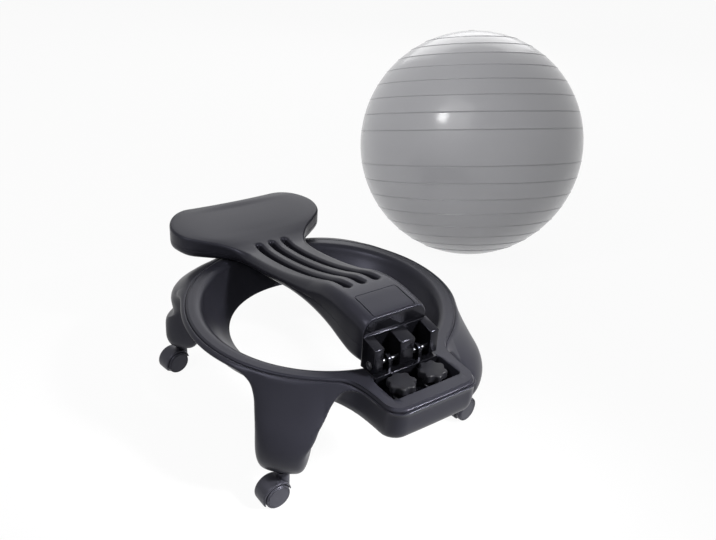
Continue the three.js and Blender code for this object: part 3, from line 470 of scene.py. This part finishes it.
REST_START, REST_LENGTH, REST_HALF, REST_UNDER, REST_RISE = 199.0, 559.0, 160.0, 217.7, 88.0
SEAM_GAP, SEAM_TURN_IN, SEAM_REACH, PARTING = 0.5, 0.45, 0.5, 0.42
PAD_DEEPER, PAD_DEEPER_START, PAD_DEEPER_END = 2.5, -262.0, -360.0
STEM_SHOULDER, PAD_SHOULDER, SHOULDER_END = 20.0, 4.5, -200.0
UNDER_CORNER, CORNER_SHARE = 13.0, 0.92
DISH_DEPTH, DISH_START, DISH_END, DISH_HALF = 3.2, 0.66, 0.985, 0.86
END_ROUND, TIP_START, TIP_LENGTH, TIP_BOW = 1.5, -318.0, 42.0, 5.0
# (share of the length, share of the half width, top and underside as shares of the rise)
rest_stations = [
    (0, .372, .895, .04), (.014, .38, .918, .035), (.056, .386, .955, .034), (.1, .39, .985, .11),
    (.154, .386, .985, .2), (.21, .38, .93, .25), (.285, .375, .76, .27), (.365, .375, .6, .245),
    (.45, .38, .467, .178), (.535, .388, .365, .095), (.6, .4, .312, .045), (.645, .42, .296, .018),
    (.685, .475, .325, .008), (.722, .59, .375, .008), (.755, .745, .42, .01), (.8, .92, .465, .014),
    (.86, .975, .51, .035), (.91, .925, .54, .06), (.952, .81, .555, .1), (.98, .66, .535, .16),
    (.994, .5, .475, .25), (.999, .4, .42, .32), (1.0, .34, .385, .35)]
station_points = [(REST_START - along * REST_LENGTH, half * REST_HALF,
                   REST_UNDER + REST_RISE * top, REST_UNDER + REST_RISE * under)
                  for along, half, top, under in rest_stations]
station_curve = spline(station_points, 16)[::-1]


def rest_at(y):
    """Half width, top and underside of the backrest at y."""
    half, top, under = [np.interp(y, station_curve[:, 0], station_curve[:, k]) for k in (1, 2, 3)]
    deeper = PAD_DEEPER * smooth((PAD_DEEPER_START - y) / 30) * smooth((y - PAD_DEEPER_END) / 22)
    return half, top, under - deeper


def rest_corner(y):
    """Corner radii of the section at y: upper and lower."""
    top, under = rest_at(y)[1:]
    most = CORNER_SHARE * (top - under) / 2
    shoulder = blend(PAD_SHOULDER, STEM_SHOULDER, smooth((y - SHOULDER_END) / 90))
    return np.minimum(shoulder, most), np.minimum(UNDER_CORNER, most)


def rest_top(x, y):
    """Height of the upper face."""
    half, top, _ = rest_at(y)
    corner = rest_corner(y)[0]
    out = np.clip((np.abs(x) - (half - corner)) / corner, 0, 0.999)
    return top - corner * (1 - np.sqrt(1 - out**2)) - pad_dish(x / half, y)


def pad_dish(share, y):
    """Depth of the hollow across the pad's upper face; share is the place across, 1 at the edge."""
    along = (REST_START - y) / REST_LENGTH
    window = smooth((along - DISH_START) / 0.12) * smooth((DISH_END - along) / 0.06)
    return DISH_DEPTH * window * np.clip(1 - (share / DISH_HALF) ** 2, 0, 1) ** 1.5


def rest_rings(upper):
    """Sections of the upper or the lower shell, from the end at the foot to the tip of the pad."""
    arc = np.linspace(90, 0, 7) * DEG
    ys = list(REST_START - END_ROUND * (1 - np.sin(arc)))
    insets = list(END_ROUND * (1 - np.cos(arc)))
    body = np.concatenate([np.linspace(REST_START - END_ROUND, TIP_START, 118)[1:],
                           TIP_START - TIP_LENGTH * np.sin(np.linspace(0, 90, 30) * DEG)[1:]])
    ys += list(body)
    insets += [0] * len(body)
    quarter = np.linspace(0, 90, 11)[:-1] * DEG
    rings = []
    for y, inset in zip(ys, insets):
        half, top, under = rest_at(y)
        split = blend(under, top, PARTING) + (SEAM_GAP / 2 if upper else -SEAM_GAP / 2)
        corner, low_corner = rest_corner(y)
        half, top, under = half - inset, top - inset, under + inset
        corner, low_corner = max(corner - inset, 0.4), max(low_corner - inset, 0.4)
        right = [(half, z) for z in np.linspace(under + low_corner, top - corner, 9)[:-1]]
        right += [(half - corner * (1 - math.cos(a)), top - corner * (1 - math.sin(a))) for a in quarter]
        left = [(-x, z) for x, z in right[::-1]]
        flat = half - corner
        upper_flat = [(x, top) for x in flat * np.linspace(1, -1, 41)]
        low_flat = half - low_corner
        turn_left = [(-low_flat - low_corner * math.sin(a), under + low_corner * (1 - math.cos(a)))
                     for a in (quarter + 9 * DEG)[::-1]]
        lower_flat = [(x, under) for x in low_flat * np.linspace(-1, 1, 25)]
        turn_right = [(-x, z) for x, z in turn_left[::-1]]
        loop = np.array(right + upper_flat + left + turn_left[1:] + lower_flat + turn_right[:-1])
        x, z = loop[:, 0], loop[:, 1]
        z = z - np.where(z > (top + under) / 2, pad_dish(x / half, y), 0)
        # the skin turns in a little at the seam, so the joint reads as a fine line
        x = x - np.sign(x) * np.exp(-np.abs(z - split) / SEAM_REACH) * SEAM_TURN_IN
        z = np.maximum(z, split) if upper else np.minimum(z, split)
        along = (REST_START - y) / REST_LENGTH
        bow = TIP_BOW * max(0, along - 0.9) / 0.1 * (1 - (x / max(half, 1)) ** 2)
        rings.append(np.stack([x, y + bow, z], axis=1))
    return rings


SLOT_HALF, SLOT_Y0, SLOT_Y1 = 4.9, -178.0, 108.7
SLOT_XS = (-27.2, 0, 27.2)
PANEL_HALF, PANEL_Y0, PANEL_Y1, PANEL_CORNER = 39.2, 143.0, 196.0, 4.0
SHELL_SCREWS = [(-100, -290.1), (-46, 59.8), (100, -290.1), (46, 59.8)]
SCREW_RECESS, SCREW_RECESS_DEEP = 4.9, 3.0
FOOT_SCREWS = [(-24, 187), (24, 187)]


def slot_tool(x0):
    """A slot right through the backrest whose lips roll outwards at both faces."""
    straight = np.linspace(SLOT_Y0, SLOT_Y1, 60)
    levels = [("under", -5, 5.4), ("under", -0.3, 2.4), ("under", 0.8, 1.2), ("under", 2.6, 0.2),
              ("under", 4, 0), ("top", -6.0, 0), ("top", -4.3, 0.3), ("top", -2.9, 0.9), ("top", -1.75, 1.75),
              ("top", -0.9, 2.8), ("top", -0.32, 4.0), ("top", 0.05, 5.3), ("top", 3, 6.6)]
    rings = []
    for face, offset, grow in levels:
        r = SLOT_HALF + grow
        caps = np.linspace(0, 180, 15) * DEG
        outline = [(x0 + r, y) for y in straight]
        outline += [(x0 + r * math.cos(a), SLOT_Y1 + r * math.sin(a)) for a in caps[1:-1]]
        outline += [(x0 - r, y) for y in straight[::-1]]
        outline += [(x0 - r * math.cos(a), SLOT_Y0 - r * math.sin(a)) for a in caps[1:-1]]
        ring = []
        for x, y in outline:
            height = rest_top(x, y) if face == "top" else rest_at(y)[2]
            ring.append((x, y, height + offset))
        rings.append(ring)
    below, above = ([(x, y, z) for x, y, _ in ring] for ring, z in ((rings[0], 150), (rings[-1], 350)))
    return ring_loft("slot_tool", [below, *rings, above])


def panel_tool():
    """The fine groove that frames a panel on the stem near its end."""
    outline = rounded_outline(PANEL_HALF, PANEL_Y0, PANEL_Y1, PANEL_CORNER, 5)
    rings = []
    for i, (x, y) in enumerate(outline):
        (ax, ay), (bx, by) = outline[i - 1], outline[(i + 1) % len(outline)]
        tx, ty = bx - ax, by - ay
        size = math.hypot(tx, ty)
        nx, ny = ty / size, -tx / size
        ring = []
        for out, down in [(-1.1, 1.0), (-0.5, -1.0), (0.5, -1.0), (1.1, 1.0)]:
            px, py = x + nx * out, min(y + ny * out, REST_START - 1.2)
            ring.append((px, py, float(rest_top(px, py)) + down))
        rings.append(ring)
    return ring_loft("panel_tool", rings, around=True)


rear = ring_loft("backrest_rear_skin", rest_rings(True))
carve(rear, panel_tool(), *[slot_tool(x) for x in SLOT_XS])
dress(rear, "backrest", "satin_black", satin, "backrest_rear_shell")
front = ring_loft("backrest_front_skin", rest_rings(False))
screw_tools = [cylinder("screw_tool", SCREW_RECESS, 150, float(rest_at(y)[2]) + SCREW_RECESS_DEEP, 32,
                        (x, y, 0)) for x, y in SHELL_SCREWS]
carve(front, *screw_tools, *[slot_tool(x) for x in SLOT_XS])
dress(front, "backrest", "satin_black", satin, "backrest_front_shell")


def screw(node, x, y, z0, z1):
    """Pan head screw of the backrest, head at the lower end, with a cross recess."""
    profile = [(0, z0), (2.6, z0 + 0.05), (3.9, z0 + 0.35), (4.5, z0 + 1.1), (4.5, z0 + 2.0), (4.3, z0 + 2.2),
               (2.5, z0 + 2.2), (2.5, z1 - 1), (1.6, z1), (0, z1)]
    cross = [rounded_box("recess", (x - a, y - b, z0 - 1), (x + a, y + b, z0 + 1.0), 0)
             for a, b in [(2.2, 0.45), (0.45, 2.2)]]
    piece = carve(turned(f"{node}_pan_head", profile, 40, (x, y, 0)), *cross)
    dress(piece, "backrest", "steel", dark_steel, node)


for n, (x, y) in enumerate(SHELL_SCREWS, 1):
    top, under = (float(v) for v in rest_at(y)[1:])
    screw(f"shell_screw_{n}", x, y, under + 0.4, top - 9)
for n, (x, y) in enumerate(FOOT_SCREWS, 1):
    under = float(rest_at(y)[2])
    screw(f"foot_screw_{n}", x, y, under - 2.6, under + 20)

# ---------------------------------------------------------------- foot, hinge, bracket

KNUCKLE, PIN_R, PIN_BORE = 13.6, 4.0, 4.4
HINGE_AT, ACROSS = (0, HINGE_Y, HINGE_Z), (1, 0, 0)
FOOT_HALF, FOOT_BACK, FOOT_LOW, FOOT_TOP = 60.7, 199.4, 219.1, 272.0
FINGER_IN, MIDDLE_HALF = 44.0, 13.5
TIP_Y, TIP_TOP = 233.0, 266.0
CAP_INSET, CAP_FROM, CAP_TO = 1.6, 0.3, 1.0
EAR_X, EAR_R, EAR_T = 28.75, 9.5, 7.0
STUD_R, STUD_BORE = 4.0, 4.4


def finger(x0, x1):
    """One finger of the foot: sloping top, upright tip and a knuckle round the pin."""
    tip_angle = -math.acos((TIP_Y - HINGE_Y) / KNUCKLE)
    profile = [(FOOT_BACK, FOOT_LOW)]
    for k in range(13):
        a = -90 * DEG + (tip_angle + 90 * DEG) * k / 12
        profile.append((HINGE_Y + KNUCKLE * math.cos(a), HINGE_Z + KNUCKLE * math.sin(a)))
    profile += [(TIP_Y, TIP_TOP - 0.4), (FOOT_BACK, FOOT_TOP)]
    rings = [[(x, y, z) for y, z in profile] for x in (x0, x1)]
    return bevelled(ring_loft("finger", rings), 1.5, 3, 50)


def pin_hole():
    return cylinder("pin_tool", PIN_BORE, -80, 80, 40, HINGE_AT, ACROSS)


def end_cap():
    """Thin plate of the foot that covers the end face of the shells, a little inside their outline."""
    insets = (CAP_INSET, CAP_INSET, -CAP_INSET)
    half, top, under = (float(v) - inset for v, inset in zip(rest_at(REST_START), insets))
    corner, low_corner = (float(v) for v in rest_corner(REST_START))
    outline = []
    for cx, cz, radius, start in [(half - corner, top - corner, corner, 0),
                                  (corner - half, top - corner, corner, 90),
                                  (low_corner - half, under + low_corner, low_corner, 180),
                                  (half - low_corner, under + low_corner, low_corner, 270)]:
        for k in range(11):
            a = (start + 9 * k) * DEG
            outline.append((cx + radius * math.cos(a), cz + radius * math.sin(a)))
    rings = [[(x, REST_START + out, z) for x, z in outline] for out in (CAP_FROM, CAP_TO)]
    return ring_loft("end_cap", rings)


foot = rounded_box("backrest_foot_moulding", (-FOOT_HALF, FOOT_BACK, FOOT_LOW),
                   (FOOT_HALF, FOOT_BACK + 4, FOOT_TOP), 1.2)
fingers = [finger(FINGER_IN, FOOT_HALF), finger(-MIDDLE_HALF, MIDDLE_HALF), finger(-FOOT_HALF, -FINGER_IN)]
ribs = [rounded_box("rib", (a, FOOT_BACK + 2, FOOT_LOW), (b, FOOT_BACK + 11, FOOT_LOW + 9), 0.8)
        for a, b in [(12.5, 23), (34.5, 45), (-23, -12.5), (-45, -34.5)]]
fuse(foot, end_cap(), *fingers, *ribs)
carve(foot, pin_hole())
dress(foot, "backrest", "gloss_black", gloss, "backrest_foot", sharp=36)

BRACKET_HALF, BRACKET_LOW, BRACKET_TOP, BRACKET_WALL = 60.0, 191.4, 219.4, 2.0
FLANGE_Y, RISER_Y, PLATE_END = 212.5, 235.4, 287.2
RISER_END = RISER_Y + BRACKET_WALL


def ear(x0):
    """Bracket ear round the pin, from x0 across its thickness."""
    base = BRACKET_TOP - 1.0
    profile = [(HINGE_Y - EAR_R, base)]
    profile += [(HINGE_Y + EAR_R * math.cos(a * DEG), HINGE_Z + EAR_R * math.sin(a * DEG))
                for a in range(180, -1, -10)]
    profile += [(HINGE_Y + EAR_R, base)]
    rings = [[(x, y, z) for y, z in profile] for x in (x0, x0 + EAR_T)]
    return bevelled(ring_loft("ear", rings), 0.5, 2, 50)


bracket = rounded_box("hinge_bracket_plate", (-BRACKET_HALF, RISER_Y, BRACKET_LOW),
                      (BRACKET_HALF, PLATE_END, BRACKET_LOW + BRACKET_WALL), 0.5)
riser = rounded_box("riser", (-BRACKET_HALF, RISER_Y, BRACKET_LOW),
                    (BRACKET_HALF, RISER_END, BRACKET_TOP), 0.6)
flange = rounded_box("flange", (-BRACKET_HALF, FLANGE_Y, BRACKET_TOP - BRACKET_WALL),
                     (BRACKET_HALF, RISER_END, BRACKET_TOP), 0.95)
fuse(bracket, riser, flange, *[ear(side * EAR_X - EAR_T / 2) for side in (-1, 1)])
stud_holes = [cylinder("stud_tool", STUD_BORE, 180, 230, 32, (side * KNOB_X, KNOB_Y, 0)) for side in (-1, 1)]
carve(bracket, pin_hole(), *stud_holes)
dress(bracket, "base", "gloss_black", gloss, "hinge_bracket", sharp=36)


def rod_profile(radius, z0, z1, chamfer=0.6):
    """Solid rod with chamfered ends, for turned."""
    return [(0, z0), (radius - chamfer, z0), (radius, z0 + chamfer),
            (radius, z1 - chamfer), (radius - chamfer, z1), (0, z1)]


def sleeve_profile(inner, outer, z0, z1, chamfer=0.25):
    """Tube with chamfered ends, for turned with closed."""
    return [(inner, z0 + chamfer), (inner + chamfer, z0), (outer - chamfer, z0), (outer, z0 + chamfer),
            (outer, z1 - chamfer), (outer - chamfer, z1), (inner + chamfer, z1), (inner, z1 - chamfer)]


PIN_END, CLIP_IN, CLIP_OUT, CLIP_R = 63.1, 61.1, 62.7, 7.0
pin = turned("hinge_pin_rod", rod_profile(PIN_R, -PIN_END, PIN_END, 0.8), 48, HINGE_AT, ACROSS)
dress(pin, "base", "steel", dark_steel, "hinge_pin")
for label, start, end in (("left", CLIP_IN, CLIP_OUT), ("right", -CLIP_OUT, -CLIP_IN)):
    clip = turned(f"pin_clip_{label}_ring", sleeve_profile(PIN_BORE, CLIP_R, start, end), 48,
                  HINGE_AT, ACROSS, closed=True)
    dress(clip, "base", "steel", dark_steel, f"pin_clip_{label}")

# ---------------------------------------------------------------- star knobs

KNOB_R, KNOB_LOW, LOBES, LOBE_DEPTH = 22.8, 208.0, 7, 4.0
HUB_R, HUB_LOW = 11.0, 195.8
STUD_SPAN = (176.0, 215.6)
WASHER_R, WASHER_SPAN = 12.0, (193.8, 195.4)
INSERT_R, INSERT_SPAN = 6.5, (173.0, 191.0)


def star_ring(centre_x, z, turn, inset, soften):
    """Outline of the knob at one height; soften goes from 1, full lobes, to 0, a circle."""
    ring = []
    for a in np.arange(140) / 140 * 2 * math.pi:
        wave = math.cos(LOBES * a)
        wave = math.copysign(abs(wave) ** 0.8, wave)
        r = KNOB_R - LOBE_DEPTH / 2 * (1 - wave) * soften - inset
        ring.append((centre_x + r * math.cos(a + turn), KNOB_Y + r * math.sin(a + turn), z))
    return ring


def star_knob(name, x, turn):
    """Lobed head with a hub below it and the stud's bore; levels are (inset, up, soften)."""
    levels = [(4.6, 0, 0.6), (2.4, 0, 0.8), (0.8, 0.7, 1), (0.15, 2, 1), (0, 4, 1), (0.05, 10.2, 1),
              (0.3, 11.5, 1), (0.9, 12.4, 1), (1.8, 12.85, 0.97), (3.4, 13.05, 0.9), (7.0, 13.15, 0.5),
              (12, 13.2, 0.15), (17, 13.2, 0), (21, 13.2, 0)]
    head = ring_loft(name, [star_ring(x, KNOB_LOW + up, turn, inset, soften) for inset, up, soften in levels])
    fuse(head, cylinder("hub", HUB_R, HUB_LOW, KNOB_LOW + 6, 48, (x, KNOB_Y, 0)))
    return carve(head, cylinder("bore", STUD_BORE, 180, 216, 32, (x, KNOB_Y, 0)))


for label, x, turn in (("left", KNOB_X, 8 * DEG), ("right", -KNOB_X, 31 * DEG)):
    at = (x, KNOB_Y, 0)
    turning = f"knob_{label}_turning"
    dress(star_knob(f"star_knob_{label}", x, turn), turning, "gloss_black", knob_black, f"knob_{label}")
    stud = turned(f"knob_stud_{label}_rod", rod_profile(STUD_R, *STUD_SPAN), 40, at)
    dress(stud, turning, "steel", steel, f"knob_stud_{label}")
    washer = sleeve_profile(STUD_BORE, WASHER_R, *WASHER_SPAN)
    dress(turned(f"knob_washer_{label}_ring", washer, 48, at, closed=True), "base", "steel", dark_steel,
          f"knob_washer_{label}")
    insert = sleeve_profile(STUD_BORE, INSERT_R, *INSERT_SPAN)
    dress(turned(f"threaded_insert_{label}_sleeve", insert, 40, at, closed=True), "base", "brass", brass,
          f"threaded_insert_{label}")

# ---------------------------------------------------------------- casters

WHEEL_R, TRAIL, WELL_R, HOOD_R, HOOD_HALF, WEB = 21.0, 18.0, 22.6, 25.0, 15.2, 9.0
WHEEL_IN = WEB / 2 + 0.7
FLOOR_CLEARANCE = 0.7
AXLE_R, AXLE_BORE, AXLE_END = 3.0, 3.4, 16.9
STEM_R, STEM_BORE, STEM_LOW, STEM_TOP = 5.5, 5.9, 35.0, 91.4
SOCKET_LOW, SOCKET_FLANGE, SOCKET_TOP = 57.35, 59.6, 95.6
WHEEL_CENTRE, AXLE_AXIS = (-TRAIL, 0, WHEEL_R), (0, 1, 0)
# degrees, in the order of the stems
CASTER_TURNS = [2, 187, 187, 10]


def placed(obj, turn, x, y):
    """Turns a caster piece, modelled with its stem on the origin and its wheels at -X, and moves it to
    x, y. At a turn of 0 the wheels are at +X of the stem."""
    origin = Matrix.Translation(Vector(ORIGIN))
    move = Matrix.Translation(Vector((x * MM, y * MM, 0)))
    obj.data.transform(origin @ move @ Matrix.Rotation(turn + math.pi, 4, "Z") @ origin.inverted())
    return obj


def shroud():
    """Curved hood over both wheels with rounded shoulders."""
    shoulder = [(-HOOD_HALF, WELL_R), (-HOOD_HALF, 23.4), (-HOOD_HALF + 0.35, 24.1), (-HOOD_HALF + 1.0, 24.6),
                (-HOOD_HALF + 2.2, 24.9), (-HOOD_HALF + 4, HOOD_R)]
    section = [*shoulder, (0, HOOD_R + 0.15), *[(-y, r) for y, r in shoulder[::-1]], (0, WELL_R - 0.3)]
    rings = []
    for a in np.linspace(12, 202, 60):
        c, s = math.cos(a * DEG), math.sin(a * DEG)
        rings.append([(r * c - TRAIL, y, r * s + WHEEL_R) for y, r in section])
    return ring_loft("shroud", rings)


def caster_hood(name):
    """Shroud and neck round the stem, a well for each wheel and the web between them."""
    neck = turned("neck", [(10.4, WHEEL_R), (10.4, 40), (10.2, 46), (9.9, 52.2), (9.2, 53)], 48)
    piece = fuse(shroud(), neck)
    wells = [cylinder("well", WELL_R, z0, z1, 72, WHEEL_CENTRE, AXLE_AXIS)
             for z0, z1 in ((WEB / 2, 40), (-40, -WEB / 2))]
    carve(piece, *wells)
    web = cylinder("web", WELL_R + 1, -WEB / 2, WEB / 2, 64, WHEEL_CENTRE, AXLE_AXIS)
    carve(web, rounded_box("below", (-60, -30, -20), (30, 30, FLOOR_CLEARANCE), 0))
    fuse(piece, web)
    carve(piece, cylinder("axle_bore", AXLE_BORE, -30, 30, 32, WHEEL_CENTRE, AXLE_AXIS),
          cylinder("stem_bore", STEM_BORE, STEM_LOW - 0.4, 60, 32))
    piece.name = name
    return piece


def socket_profile():
    """Sleeve with a flange under the leg."""
    return [(STEM_BORE, SOCKET_LOW + 0.25), (STEM_BORE + 0.3, SOCKET_LOW), (14.4, SOCKET_LOW),
            (15, SOCKET_LOW + 0.55), (15, SOCKET_FLANGE - 0.4), (14.7, SOCKET_FLANGE), (11, SOCKET_FLANGE),
            (11, SOCKET_TOP - 0.6), (10.4, SOCKET_TOP), (STEM_BORE, SOCKET_TOP)]


def stem_profile():
    """Chamfered rod with a collar between the hood and the socket."""
    return [(0, STEM_LOW), (STEM_R - 0.5, STEM_LOW), (STEM_R, STEM_LOW + 0.5), (STEM_R, 53.4), (9.6, 53.4),
            (10, 53.8), (10, 56.2), (9.6, 56.6), (STEM_R, 56.6), (STEM_R, STEM_TOP - 0.6),
            (STEM_R - 0.6, STEM_TOP), (0, STEM_TOP)]


def wheel_profile(side):
    """Tread with rounded shoulders, a gap line round a slightly domed cap that covers the axle end."""
    half = [(0, 11.88), (AXLE_BORE, 11.88), (AXLE_BORE, 0), (17.6, 0), (19.6, 0.5), (20.7, 1.6),
            (WHEEL_R, 3.0), (WHEEL_R + 0.05, 6.2), (WHEEL_R, 9.4), (20.75, 10.8), (20.1, 11.8), (19.3, 12.25),
            (18.6, 12.3), (18.45, 12.1), (18.4, 11.2), (17.75, 11.2), (17.7, 12.2), (17.4, 12.5), (15, 12.62),
            (9, 12.8), (3, 12.88), (0, 12.9)]
    return [(r, side * (WHEEL_IN + out)) for r, out in half]


for n, ((x, y), degrees) in enumerate(zip(stems, CASTER_TURNS), 1):
    turn = degrees * DEG
    fork = f"caster_{n}_fork"
    socket = turned(f"caster_{n}_socket_flanged", socket_profile(), 48, (x, y, 0), closed=True)
    dress(socket, "base", "caster_black", caster_black, f"caster_{n}_socket")
    stem = turned(f"caster_{n}_stem_rod", stem_profile(), 40, (x, y, 0))
    dress(stem, fork, "steel", dark_steel, f"caster_{n}_stem")
    hood = placed(caster_hood(f"caster_{n}_hood_shell"), turn, x, y)
    dress(hood, fork, "caster_black", caster_black, f"caster_{n}_hood")
    rod = rod_profile(AXLE_R, -AXLE_END, AXLE_END)
    axle = turned(f"caster_{n}_axle_rod", rod, 32, WHEEL_CENTRE, AXLE_AXIS)
    dress(placed(axle, turn, x, y), fork, "steel", dark_steel, f"caster_{n}_axle")
    for side, label in ((1, "left"), (-1, "right")):
        node = f"caster_{n}_wheel_{label}"
        wheel = turned(f"{node}_capped", wheel_profile(side), 72, WHEEL_CENTRE, AXLE_AXIS)
        dress(placed(wheel, turn, x, y), f"{node}_rolling", "caster_black", caster_black, node)

# ---------------------------------------------------------------- ball and plug

BALL_R, BALL_SETTLE = 280.0, 2.0
BALL_CENTRE = Vector((-689.0, -376.0, BALL_R - BALL_SETTLE))
LEAN_TO, LEAN_AWAY, LEAN_SIDE = -135.5 * DEG, 16.3 * DEG, -7.3 * DEG
away = Vector((math.cos(LEAN_TO), math.sin(LEAN_TO), 0))
sideways = Vector((away.y, -away.x, 0))
BALL_AXIS = (Vector((0, 0, math.cos(LEAN_AWAY) * math.cos(LEAN_SIDE))) + away * math.sin(LEAN_AWAY)
             + sideways * math.sin(LEAN_SIDE)).normalized()
RIDGE, RIDGE_HALF, RIDGE_PITCH, RIDGE_COUNT = 1.0, 2.3, 8.2, 8
VALVE_R, VALVE_DEPTH = 4.9, 19.0


def ball_profile():
    """Half outline of the ball from the lower pole to the valve, with a fine raised rib at each ridge."""
    ridges = [k * RIDGE_PITCH for k in range(-RIDGE_COUNT, RIDGE_COUNT + 1) if k]
    flank = [(-1.0, 0), (-0.62, 0.05), (-0.42, -0.55), (-0.28, -0.2), (-0.14, 0.7)]
    shape = [*flank, (0, 0.95), *[(-off, rise) for off, rise in flank[::-1]]]
    rows = [(latitude + off * RIDGE_HALF / BALL_R / DEG, BALL_R + rise * RIDGE)
            for latitude in ridges for off, rise in shape]
    rows += [(a, BALL_R) for a in np.arange(-89, 88.6, 1.3) if min(abs(a - ridge) for ridge in ridges) > 1.15]
    outline = [(r * math.cos(a * DEG), r * math.sin(a * DEG)) for a, r in sorted(rows)]
    valve = [(VALVE_R + 0.6, math.sqrt(BALL_R**2 - VALVE_R**2)), (VALVE_R, BALL_R - 0.4),
             (VALVE_R, BALL_R - VALVE_DEPTH), (0, BALL_R - VALVE_DEPTH)]
    return [(0, -BALL_R), *outline, *valve]


def plug_profile():
    """Stopper with a flat cap that rests on the ball's skin."""
    seat = BALL_R + 0.05
    return [(r, seat + up) for r, up in [
        (0, -16), (4.1, -16), (4.5, -15.4), (4.5, 0), (8.7, 0), (9, 0.4), (9, 1.3), (8.4, 1.9), (6.6, 2.0),
        (6.2, 1.7), (3.2, 1.7), (0, 1.9)]]


ball = turned("ball_vinyl_skin", ball_profile(), 192, BALL_CENTRE, BALL_AXIS)
# the ball is flat where it stands on the floor
for vertex in ball.data.vertices:
    vertex.co.z = max(vertex.co.z, float(ORIGIN[2]))
dress(ball, "ball", "ball_grey", vinyl, "ball_shell", sharp=60)
plug = turned("ball_plug_stopper", plug_profile(), 48, BALL_CENTRE, BALL_AXIS)
dress(plug, "ball_valve_plug", "plug_white", plug_white, "ball_plug")

# ---------------------------------------------------------------- floor, light, camera

FLOOR_HALF, FLOOR_DROP, FLOOR_TONE, FLOOR_WHITE_SHARE = 60.0, 0.0003, 0.8, 0.94
AMBIENT = 0.22
WHITE = (1, 1, 1, 1)


def white_for_camera(tree, lit, white, output, share):
    """Shows a share of plain white to the camera, mirrors and glass; all other rays get the lit shader."""
    path = tree.nodes.new("ShaderNodeLightPath")
    seen = path.outputs["Is Camera Ray"]
    for kind in ("Is Glossy Ray", "Is Transmission Ray"):
        either = tree.nodes.new("ShaderNodeMath")
        either.operation = "MAXIMUM"
        tree.links.new(seen, either.inputs[0])
        tree.links.new(path.outputs[kind], either.inputs[1])
        seen = either.outputs[0]
    part = tree.nodes.new("ShaderNodeMath")
    part.operation = "MULTIPLY"
    part.inputs[1].default_value = share
    tree.links.new(seen, part.inputs[0])
    mix = tree.nodes.new("ShaderNodeMixShader")
    tree.links.new(part.outputs[0], mix.inputs["Fac"])
    tree.links.new(lit, mix.inputs[1])
    tree.links.new(white, mix.inputs[2])
    tree.links.new(mix.outputs["Shader"], output.inputs["Surface"])


floor_mesh = bpy.data.meshes.new("floor")
floor_mesh.from_pydata([(x * FLOOR_HALF, y * FLOOR_HALF, 0) for x, y in [(-1, -1), (1, -1), (1, 1), (-1, 1)]],
                       [], [(0, 1, 2, 3)])
floor = bpy.data.objects.new("floor", floor_mesh)
floor.location.z = float(ORIGIN[2]) - FLOOR_DROP
bpy.context.scene.collection.objects.link(floor)
floor_mat = bpy.data.materials.new("floor_white")
floor_mat.use_nodes = True
tree = floor_mat.node_tree
diffuse = tree.nodes["Principled BSDF"]
diffuse.inputs["Base Color"].default_value = (FLOOR_TONE, FLOOR_TONE, FLOOR_TONE, 1)
diffuse.inputs["Roughness"].default_value = 1.0
diffuse.inputs["Specular IOR Level"].default_value = 0.0
glow = tree.nodes.new("ShaderNodeEmission")
glow.inputs["Color"].default_value = WHITE
glow.inputs["Strength"].default_value = 1.0
white_for_camera(tree, diffuse.outputs["BSDF"], glow.outputs["Emission"], tree.nodes["Material Output"],
                 FLOOR_WHITE_SHARE)
floor.data.materials.append(floor_mat)

scene = bpy.context.scene
world = bpy.data.worlds.new("studio")
scene.world = world
world.use_nodes = True
tree = world.node_tree
ambient = tree.nodes["Background"]
ambient.inputs["Color"].default_value = WHITE
ambient.inputs["Strength"].default_value = AMBIENT
clear = tree.nodes.new("ShaderNodeBackground")
clear.inputs["Color"].default_value = WHITE
clear.inputs["Strength"].default_value = 1.0
white_for_camera(tree, ambient.outputs["Background"], clear.outputs["Background"], tree.nodes["World Output"],
                 1.0)


def softbox(name, direction, distance, size, power, target=(-0.1, -0.05, 0.15), spread=180):
    """Lamp that faces the target; a spread under 180 degrees is a grid that keeps its light off the rest."""
    light = bpy.data.lights.new(name, "AREA")
    light.spread = spread * DEG
    light.shape = "RECTANGLE"
    light.size, light.size_y = size
    light.energy = power
    obj = bpy.data.objects.new(name, light)
    obj.location = Vector(target) + Vector(direction).normalized() * distance
    obj.rotation_euler = (Vector(target) - obj.location).to_track_quat("-Z", "Y").to_euler()
    scene.collection.objects.link(obj)


softbox("key_softbox", (0.748, 0.067, 0.676), 2.8, (0.42, 0.42), 15)
softbox("fill_softbox", (0.62, 0.26, 0.74), 2.9, (1.5, 1.5), 14)
softbox("back_softbox", (-0.51, -0.66, 0.55), 3.0, (2.6, 1.7), 25)
softbox("right_softbox", (-0.45, 0.64, 0.62), 2.4, (0.5, 0.5), 2.9, (0.3645, 0.47, 0.15), 16)

# The camera that was fitted to the photograph: its place and the directions of its picture's axes.
EYE = Vector((613.56, 901.84, 864.83)) * MM + Vector(ORIGIN)
PICTURE_RIGHT, PICTURE_UP = Vector((-0.8148, 0.5761, 0.0660)), Vector((-0.2274, -0.4222, 0.8775))
LENS, SENSOR_WIDTH = 36.56, 36.0
back = PICTURE_RIGHT.cross(PICTURE_UP).normalized()
up = back.cross(PICTURE_RIGHT).normalized()
right = up.cross(back).normalized()
camera_data = bpy.data.cameras.new("camera")
camera_data.lens = LENS
camera_data.sensor_width = SENSOR_WIDTH
camera_data.sensor_fit = "HORIZONTAL"
camera_data.clip_end = 200.0
camera = bpy.data.objects.new("camera", camera_data)
camera.matrix_world = Matrix.Translation(EYE) @ Matrix((right, up, back)).transposed().to_4x4()
scene.collection.objects.link(camera)
scene.camera = camera
scene.view_settings.view_transform = "Standard"
